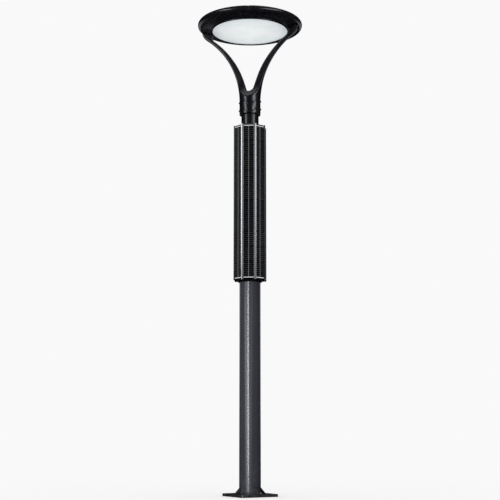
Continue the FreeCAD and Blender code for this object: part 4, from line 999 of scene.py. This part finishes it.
class LAMP_OT_studio(bpy.types.Operator):
    """Builds the pale floor and backdrop, the soft lights and the camera"""

    bl_idname = "lamp.studio"
    bl_label = "Build studio"

    view_from = math.radians(15)

    def execute(self, context):
        self.floor()
        self.backdrop(context)
        self.lights()
        self.camera(context)
        return {"FINISHED"}

    def floor(self):
        """A round floor, r from 0 to 40 m. It gives off the share of light that its colour takes, so
        that it meets the backdrop with no line."""
        reach = np.array([0, 0.3, 1, 3, 8, 40.0])
        outline = np.stack([reach, np.zeros(6)], -1)[::-1]
        floor = revolve("floor", outline, 0.0, 96, closed=False)
        pale = tuple(colours().studio)
        coat = Coat("floor paper")
        grain = coat.noise(3.0, 2.0)
        paper = coat.drift((1, 1, 1), grain, 0.775, 0.785)
        floor.data.materials.append(coat.done(
            Base_Color=paper, Roughness=0.9, Specular_IOR_Level=0.0, Emission_Color=shade(pale, 0.22),
            Emission_Strength=1.0,
        ))
        floor.visible_glossy = False
        floor.visible_shadow = False
        floor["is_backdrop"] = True

    def backdrop(self, context):
        world = bpy.data.worlds.new("studio")
        world.use_nodes = True
        background = world.node_tree.nodes["Background"]
        background.inputs["Color"].default_value = opaque(colours().studio)
        background.inputs["Strength"].default_value = 1.0
        world.cycles_visibility.glossy = False
        context.scene.world = world
        context.scene.view_settings.view_transform = "Standard"

    def lights(self):
        """Soft boxes that shine on the lamp only, the lamp's own light, a disc just under the lens,
        and a wide light overhead. A row is the groups a box shines on, its direction in degrees from
        the camera, distance, lowest and highest point, width and brightness."""
        boxes = [
            ("pole", -19.5, 4.0, -0.9, 2.5, 0.36, 38.0),
            ("pole", -42, 4.0, -0.9, 2.5, 1.50, 3.2),
            ("pole", 12, 4.0, -0.9, 2.5, 1.30, 0.9),
            ("head", -52, 4.0, 1.7, 4.6, 0.75, 8.0),
            ("head", 46, 4.0, 1.7, 4.6, 0.75, 9.0),
            ("head", 177, 4.0, 3.15, 3.75, 0.13, 4.0),
            ("head", -177, 4.0, 3.15, 3.75, 0.13, 4.0),
            ("rails", -100, 3.0, 1.5, 3.6, 1.8, 3.2),
            ("rails", -10, 4.0, 1.5, 3.8, 0.8, 0.60),
            ("rails", 80, 3.0, 1.5, 3.6, 1.4, 2.0),
            ("column", -100, 3.0, 1.45, 2.9, 1.8, 0.5),
            ("column", 82, 3.0, 1.45, 2.9, 1.4, 0.25),
            ("pole rails column head", 150, 4.0, 0.3, 2.8, 2.0, 0.7),
            ("pole rails column head", -150, 4.0, 0.3, 2.8, 2.0, 0.7),
        ]
        for number, (groups, angle, reach, low, high, wide, bright) in enumerate(boxes, 1):
            direction = self.view_from + math.radians(angle)
            place = Vector((math.sin(direction) * reach, -math.cos(direction) * reach, (low + high) / 2))
            box = self.light(f"soft box {number}", groups, place, bright, wide, high - low)
            box.rotation_euler = Vector((-place.x, -place.y, 0)).to_track_quat("-Z", "Z").to_euler()
        whole = "pole rails column head"
        under_lens = (0, 0, HEAD_LEVEL - LENS_DEPTH - 0.0035)
        glow = self.light("lens glow", whole, under_lens, 2.2, 0.40, tone=(1.0, 0.98, 0.95))
        glow.visible_glossy = False
        self.light("overhead", whole, (0.8, 1.2, 6.0), 0.7, 3.0)

    def light(self, name, groups, place, bright, wide, tall=None, tone=(0.95, 0.97, 1.0)):
        """A light that shines on some groups only: a rectangle, or a disc if it has no height. Its
        energy is brightness times pi times its area."""
        lamp = bpy.data.lights.new(name, "AREA")
        lamp.shape, lamp.size, lamp.color = "DISK", wide, tone
        area = math.pi * (wide / 2) ** 2
        if tall:
            lamp.shape, lamp.size_y, area = "RECTANGLE", tall, wide * tall
        lamp.energy = bright * math.pi * area
        light = placed(name, lamp)
        light.location = place
        light.visible_camera = False
        light.light_linking.receiver_collection = self.lit(groups)
        return light

    def lit(self, groups):
        """The collection of the pieces in some groups, which a light shines on."""
        if groups not in bpy.data.collections:
            shown = bpy.data.collections.new(groups)
            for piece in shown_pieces():
                if self.group(piece.name) in groups.split():
                    shown.objects.link(piece)
        return bpy.data.collections[groups]

    def group(self, name):
        """Which group of the lamp a piece belongs to."""
        if name.startswith(("pole", "foot_")):
            return "pole"
        if name.startswith("rail_"):
            return "rails"
        if name.startswith(("panel_", "column_")):
            return "column"
        return "head"

    def camera(self, context):
        """A standing camera that looks up at the head from a low eye height."""
        distance, eye, aim = 6.1, 0.345, 1.305
        data = bpy.data.cameras.new("camera")
        data.lens, data.sensor_width = 82.2, 36.0
        camera = placed("camera", data)
        camera.location = (math.sin(self.view_from) * distance, -math.cos(self.view_from) * distance, eye)
        look = Vector((0, 0, aim)) - camera.location
        camera.rotation_euler = look.to_track_quat("-Z", "Y").to_euler()
        context.scene.camera = camera


class LAMP_PT_panel(bpy.types.Panel):
    """The lamp's sizes, colours and build steps"""

    bl_idname = "LAMP_PT_panel"
    bl_label = "Solar street lamp"
    bl_space_type = "VIEW_3D"
    bl_region_type = "UI"
    bl_category = "Lamp"

    def draw(self, context):
        for step in STEPS:
            self.layout.operator(step.bl_idname)
        for group in (context.scene.lamp_sizes, context.scene.lamp_colours):
            box = self.layout.box()
            for name in group.__annotations__:
                box.prop(group, name, text=name.replace("_", " ").capitalize())


STEPS = (
    LAMP_OT_foot, LAMP_OT_tubes, LAMP_OT_column, LAMP_OT_fork, LAMP_OT_head, LAMP_OT_finishes, LAMP_OT_studio,
)
CLASSES = (LampSizes, LampColours, *STEPS, LAMP_PT_panel)


def register():
    for entry in CLASSES:
        bpy.utils.register_class(entry)
    bpy.types.Scene.lamp_sizes = PointerProperty(type=LampSizes)
    bpy.types.Scene.lamp_colours = PointerProperty(type=LampColours)


def unregister():
    del bpy.types.Scene.lamp_colours
    del bpy.types.Scene.lamp_sizes
    for entry in reversed(CLASSES):
        bpy.utils.unregister_class(entry)


def main():
    register()
    bpy.ops.lamp.foot()
    bpy.ops.lamp.tubes()
    bpy.ops.lamp.column()
    bpy.ops.lamp.fork()
    bpy.ops.lamp.head()
    bpy.ops.lamp.finishes()
    bpy.ops.lamp.studio()


if __name__ == "__main__":
    main()
